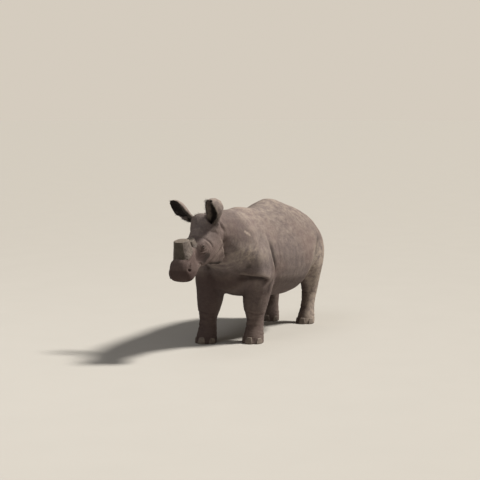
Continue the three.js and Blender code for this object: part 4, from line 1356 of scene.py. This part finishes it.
def ear_roots(ear, hide_tree, random_source):
    """Roots along the rim of an ear and inside its cup, with the way each hair lies."""
    settings = bpy.context.scene.rhino_hair
    surface = merged_copy(ear)
    facing = EAR_FACING[ear].normalized()
    low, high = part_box(ear)
    places = [vertex.co.copy() for vertex in surface.verts]
    surface.free()
    centre = sum(places, Vector()) / len(places)
    tip = max(places, key=lambda place: (place - HEAD.translation).length)
    axis = (tip - centre).normalized()
    front = (facing - axis * facing.dot(axis)).normalized()
    across = axis.cross(front)
    reach = (high - low).length
    roots = []
    for _ in range(15000):
        along = random_source.uniform(-0.28, 0.56) * reach
        turn = random_source.uniform(-math.pi, math.pi)
        out = across * math.sin(turn) + front * math.cos(turn)
        start = centre + axis * along + out * 0.25
        place, normal, _, distance = hide_tree.ray_cast(start, -out)
        if place is None or distance > 0.26:
            continue
        side = (place - centre).dot(across)
        rim = (place - centre).dot(front) > 0.012 and abs(normal.dot(front)) < 0.9 and normal.dot(out) > -0.2
        inside = normal.dot(front) > 0.35
        if rim:
            way = out * 0.5 + axis * 0.75 + front * 0.35
            length = settings.fringe * random_source.uniform(0.55, 1.2)
        elif inside and random_source.random() < 0.3:
            way = front * 0.8 - across * math.copysign(0.5, side) + axis * 0.5
            length = settings.fringe * random_source.uniform(0.4, 0.8)
        else:
            continue
        jitter = Vector([random_source.gauss(0, 0.22) for _ in range(3)])
        roots.append((place - normal * 0.001, way + jitter, length))
    return roots


def tail_roots(hide_tree, random_source):
    """Roots down the two edges of the tail's lower third."""
    settings = bpy.context.scene.rhino_hair
    low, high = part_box("tail")
    roots = []
    for _ in range(900):
        share = random_source.random() ** 1.4
        height = low.z + 0.008 + 0.24 * share
        angle = random_source.uniform(-math.pi, math.pi)
        out = Vector((math.sin(angle), math.cos(angle), 0))
        start = Vector(((low.x + high.x) / 2, high.y - 0.035, height)) + out * 0.1
        place, normal, _, distance = hide_tree.ray_cast(start, -out)
        if place is None or distance > 0.12:
            continue
        sideways = abs(out.x)
        if sideways < random_source.random() * 0.8 and share > 0.15:
            continue
        way = out * 0.4 + Vector((0, 0.05, -1.1))
        jitter = Vector([random_source.gauss(0, 0.13) for _ in range(3)])
        length = settings.tassel * random_source.uniform(0.5, 1.0) * (1 - 0.45 * share)
        roots.append((place - normal * 0.001, way + jitter, length))
    return roots


def lash_roots(side_name, random_source):
    """Roots along the edge of an upper lid."""
    settings = bpy.context.scene.rhino_hair
    side = SIDES[side_name]
    centre = middle_of(f"eye_{side_name}")
    low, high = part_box(f"eye_{side_name}")
    radius = (high.x - low.x) / 2 + 0.005
    looks = HEAD.to_3x3() @ Vector((side, -0.3, 0.12)).normalized()
    along = HEAD.to_3x3() @ Vector((0, -1, -0.12))
    along = (along - looks * along.dot(looks)).normalized()
    upward = looks.cross(along) * side
    roots = []
    for _ in range(90):
        ahead = random_source.uniform(-0.78, 0.78)
        above = 0.56 * math.sqrt(1 - (ahead / 0.95) ** 2) + random_source.uniform(-0.03, 0.05)
        out = (looks * math.sqrt(max(0.05, 1 - ahead**2 - above**2)) + along * ahead + upward * above).normalized()
        way = out + upward * 0.15 + along * ahead * 0.5 - Vector((0, 0, 0.35))
        jitter = Vector([random_source.gauss(0, 0.1) for _ in range(3)])
        roots.append((centre + out * radius, way + jitter, settings.lash * random_source.uniform(0.6, 1.0)))
    return roots


# ---------------------------------------------------------------- stage


def build_stage():
    """A pale floor, soft lights and the camera."""
    stage = bpy.context.scene.rhino_stage
    disc = bmesh.new()
    bmesh.ops.create_circle(disc, cap_ends=True, segments=96, radius=stage.floor)
    mesh = bpy.data.meshes.new("floor")
    disc.to_mesh(mesh)
    disc.free()
    material, tree, shader, place = new_material("Pale floor", Roughness=0.9, Specular_IOR_Level=0.2)
    shade = add(tree, "ShaderNodeTexNoise", None, Vector=place, Scale=1.5, Detail=4.0)
    floor_colour = solid_colour(stage.floor_colour)
    darker = solid_colour([value * 0.96 for value in stage.floor_colour])
    tree.links.new(mixed(tree, shade.outputs[0], darker, floor_colour), shader.inputs["Base Color"])
    mesh.materials.append(material)
    link("floor", mesh)

    world = bpy.data.worlds.new("Studio")
    world.use_nodes = True
    sky = world.node_tree.nodes["Background"].inputs
    sky["Color"].default_value = (0.83, 0.755, 0.65, 1.0)
    ray = world.node_tree.nodes.new("ShaderNodeLightPath").outputs["Is Camera Ray"]
    seen = ranged(world.node_tree, ray, 0.0, 1.0, stage.ambient, stage.backdrop)
    world.node_tree.links.new(seen, sky["Strength"])
    bpy.context.scene.world = world
    middle = Vector((0, (TRUNK_LOW.y + TRUNK_HIGH.y) / 2, 0.9))
    key = bpy.data.lights.new("key", "SUN")
    key.energy = stage.key
    key.angle = math.radians(10)
    key.color = (1.0, 0.955, 0.88)
    fill = bpy.data.lights.new("fill", "AREA")
    fill.energy = stage.fill
    fill.size = 7
    fill.color = (0.93, 0.95, 1.0)
    for light, towards in ((key, Vector((0.52, 0.34, 0.79))), (fill, Vector((-0.15, -0.5, 0.85)))):
        lamp = bpy.data.objects.new(light.name, light)
        bpy.context.scene.collection.objects.link(lamp)
        lamp.location = middle + towards.normalized() * 12
        lamp.rotation_euler = towards.to_track_quat("Z", "Y").to_euler()

    camera = bpy.data.cameras.new("camera")
    camera.lens = stage.lens
    camera.sensor_width = 36
    eye = bpy.data.objects.new("camera", camera)
    bpy.context.scene.collection.objects.link(eye)
    aim = Vector((0, middle_of("trunk").y - 0.7404, 0.9))
    turn, rise = stage.azimuth, stage.elevation
    back = Vector((math.sin(turn) * math.cos(rise), -math.cos(turn) * math.cos(rise), math.sin(rise)))
    eye.location = aim + back * stage.distance
    right = (-back).cross(Vector((0, 0, 1))).normalized()
    upward = right.cross(-back)
    seen = aim + right * 0.031 + upward * 0.356
    eye.rotation_euler = (seen - eye.location).to_track_quat("-Z", "Y").to_euler()
    camera.clip_end = 1000
    bpy.context.scene.camera = eye
    bpy.context.scene.view_settings.view_transform = "Standard"


# ---------------------------------------------------------------- operators and panel


class RHINO_OT_hide(bpy.types.Operator):
    """Build the hide with its folds and wrinkles"""

    bl_idname = "rhino.hide"
    bl_label = "Hide"

    def execute(self, context):
        build_hide()
        return {"FINISHED"}


class RHINO_OT_horns(bpy.types.Operator):
    """Build the two sawn horn stumps"""

    bl_idname = "rhino.horns"
    bl_label = "Horns"

    def execute(self, context):
        for horn in HORNS:
            build_horn(horn, 1.0)
        return {"FINISHED"}


class RHINO_OT_nails(bpy.types.Operator):
    """Build the toenails"""

    bl_idname = "rhino.nails"
    bl_label = "Toenails"

    def execute(self, context):
        build_nails()
        return {"FINISHED"}


class RHINO_OT_eyes(bpy.types.Operator):
    """Build the two eyes"""

    bl_idname = "rhino.eyes"
    bl_label = "Eyes"

    def execute(self, context):
        for side_name in SIDES:
            build_eye(side_name)
        return {"FINISHED"}


class RHINO_OT_hair(bpy.types.Operator):
    """Build the ear fringes, the tail's tassel and the lashes; the hide has to be there"""

    bl_idname = "rhino.hair"
    bl_label = "Hair"

    def execute(self, context):
        hide = bpy.data.objects.get("hide")
        if hide is None:
            raise RuntimeError("build the hide before its hair")
        random_source = random.Random(context.scene.rhino_hair.seed)
        tree = Surface(hide.data).tree()
        for ear in EARS:
            build_hair(f"{ear}_fringe", ear_roots(ear, tree, random_source), 0.015, 0.3)
        build_hair("tail_tassel", tail_roots(tree, random_source), 0.009, 0.12)
        for side_name in SIDES:
            build_hair(f"lashes_{side_name}", lash_roots(side_name, random_source), 0.024, 0.3)
        return {"FINISHED"}


class RHINO_OT_stage(bpy.types.Operator):
    """Build the floor, the lights and the camera"""

    bl_idname = "rhino.stage"
    bl_label = "Stage"

    def execute(self, context):
        build_stage()
        return {"FINISHED"}


OPERATORS = (RHINO_OT_stage, RHINO_OT_hide, RHINO_OT_horns, RHINO_OT_nails, RHINO_OT_eyes, RHINO_OT_hair)
SETTINGS = {
    "rhino_hide": HideSettings,
    "rhino_horns": HornSettings,
    "rhino_eyes": EyeSettings,
    "rhino_hair": HairSettings,
    "rhino_stage": StageSettings,
}


class VIEW3D_PT_rhinoceros(bpy.types.Panel):
    """Lists what builds the rhinoceros"""

    bl_label = "Rhinoceros"
    bl_idname = "VIEW3D_PT_rhinoceros"
    bl_space_type = "VIEW_3D"
    bl_region_type = "UI"
    bl_category = "Rhinoceros"

    def draw(self, context):
        for operator in OPERATORS:
            self.layout.operator(operator.bl_idname)
        for name, group in SETTINGS.items():
            box = self.layout.box()
            for value in group.__annotations__:
                box.prop(getattr(context.scene, name), value)


def register():
    for kind in (*SETTINGS.values(), *OPERATORS, VIEW3D_PT_rhinoceros):
        bpy.utils.register_class(kind)
    for name, group in SETTINGS.items():
        setattr(bpy.types.Scene, name, PointerProperty(type=group))


def unregister():
    for name in SETTINGS:
        delattr(bpy.types.Scene, name)
    for kind in (VIEW3D_PT_rhinoceros, *reversed(OPERATORS), *SETTINGS.values()):
        bpy.utils.unregister_class(kind)


def main():
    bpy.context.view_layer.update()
    register()
    for operator in OPERATORS:
        group, name = operator.bl_idname.split(".")
        getattr(getattr(bpy.ops, group), name)()


if __name__ == "__main__":
    main()
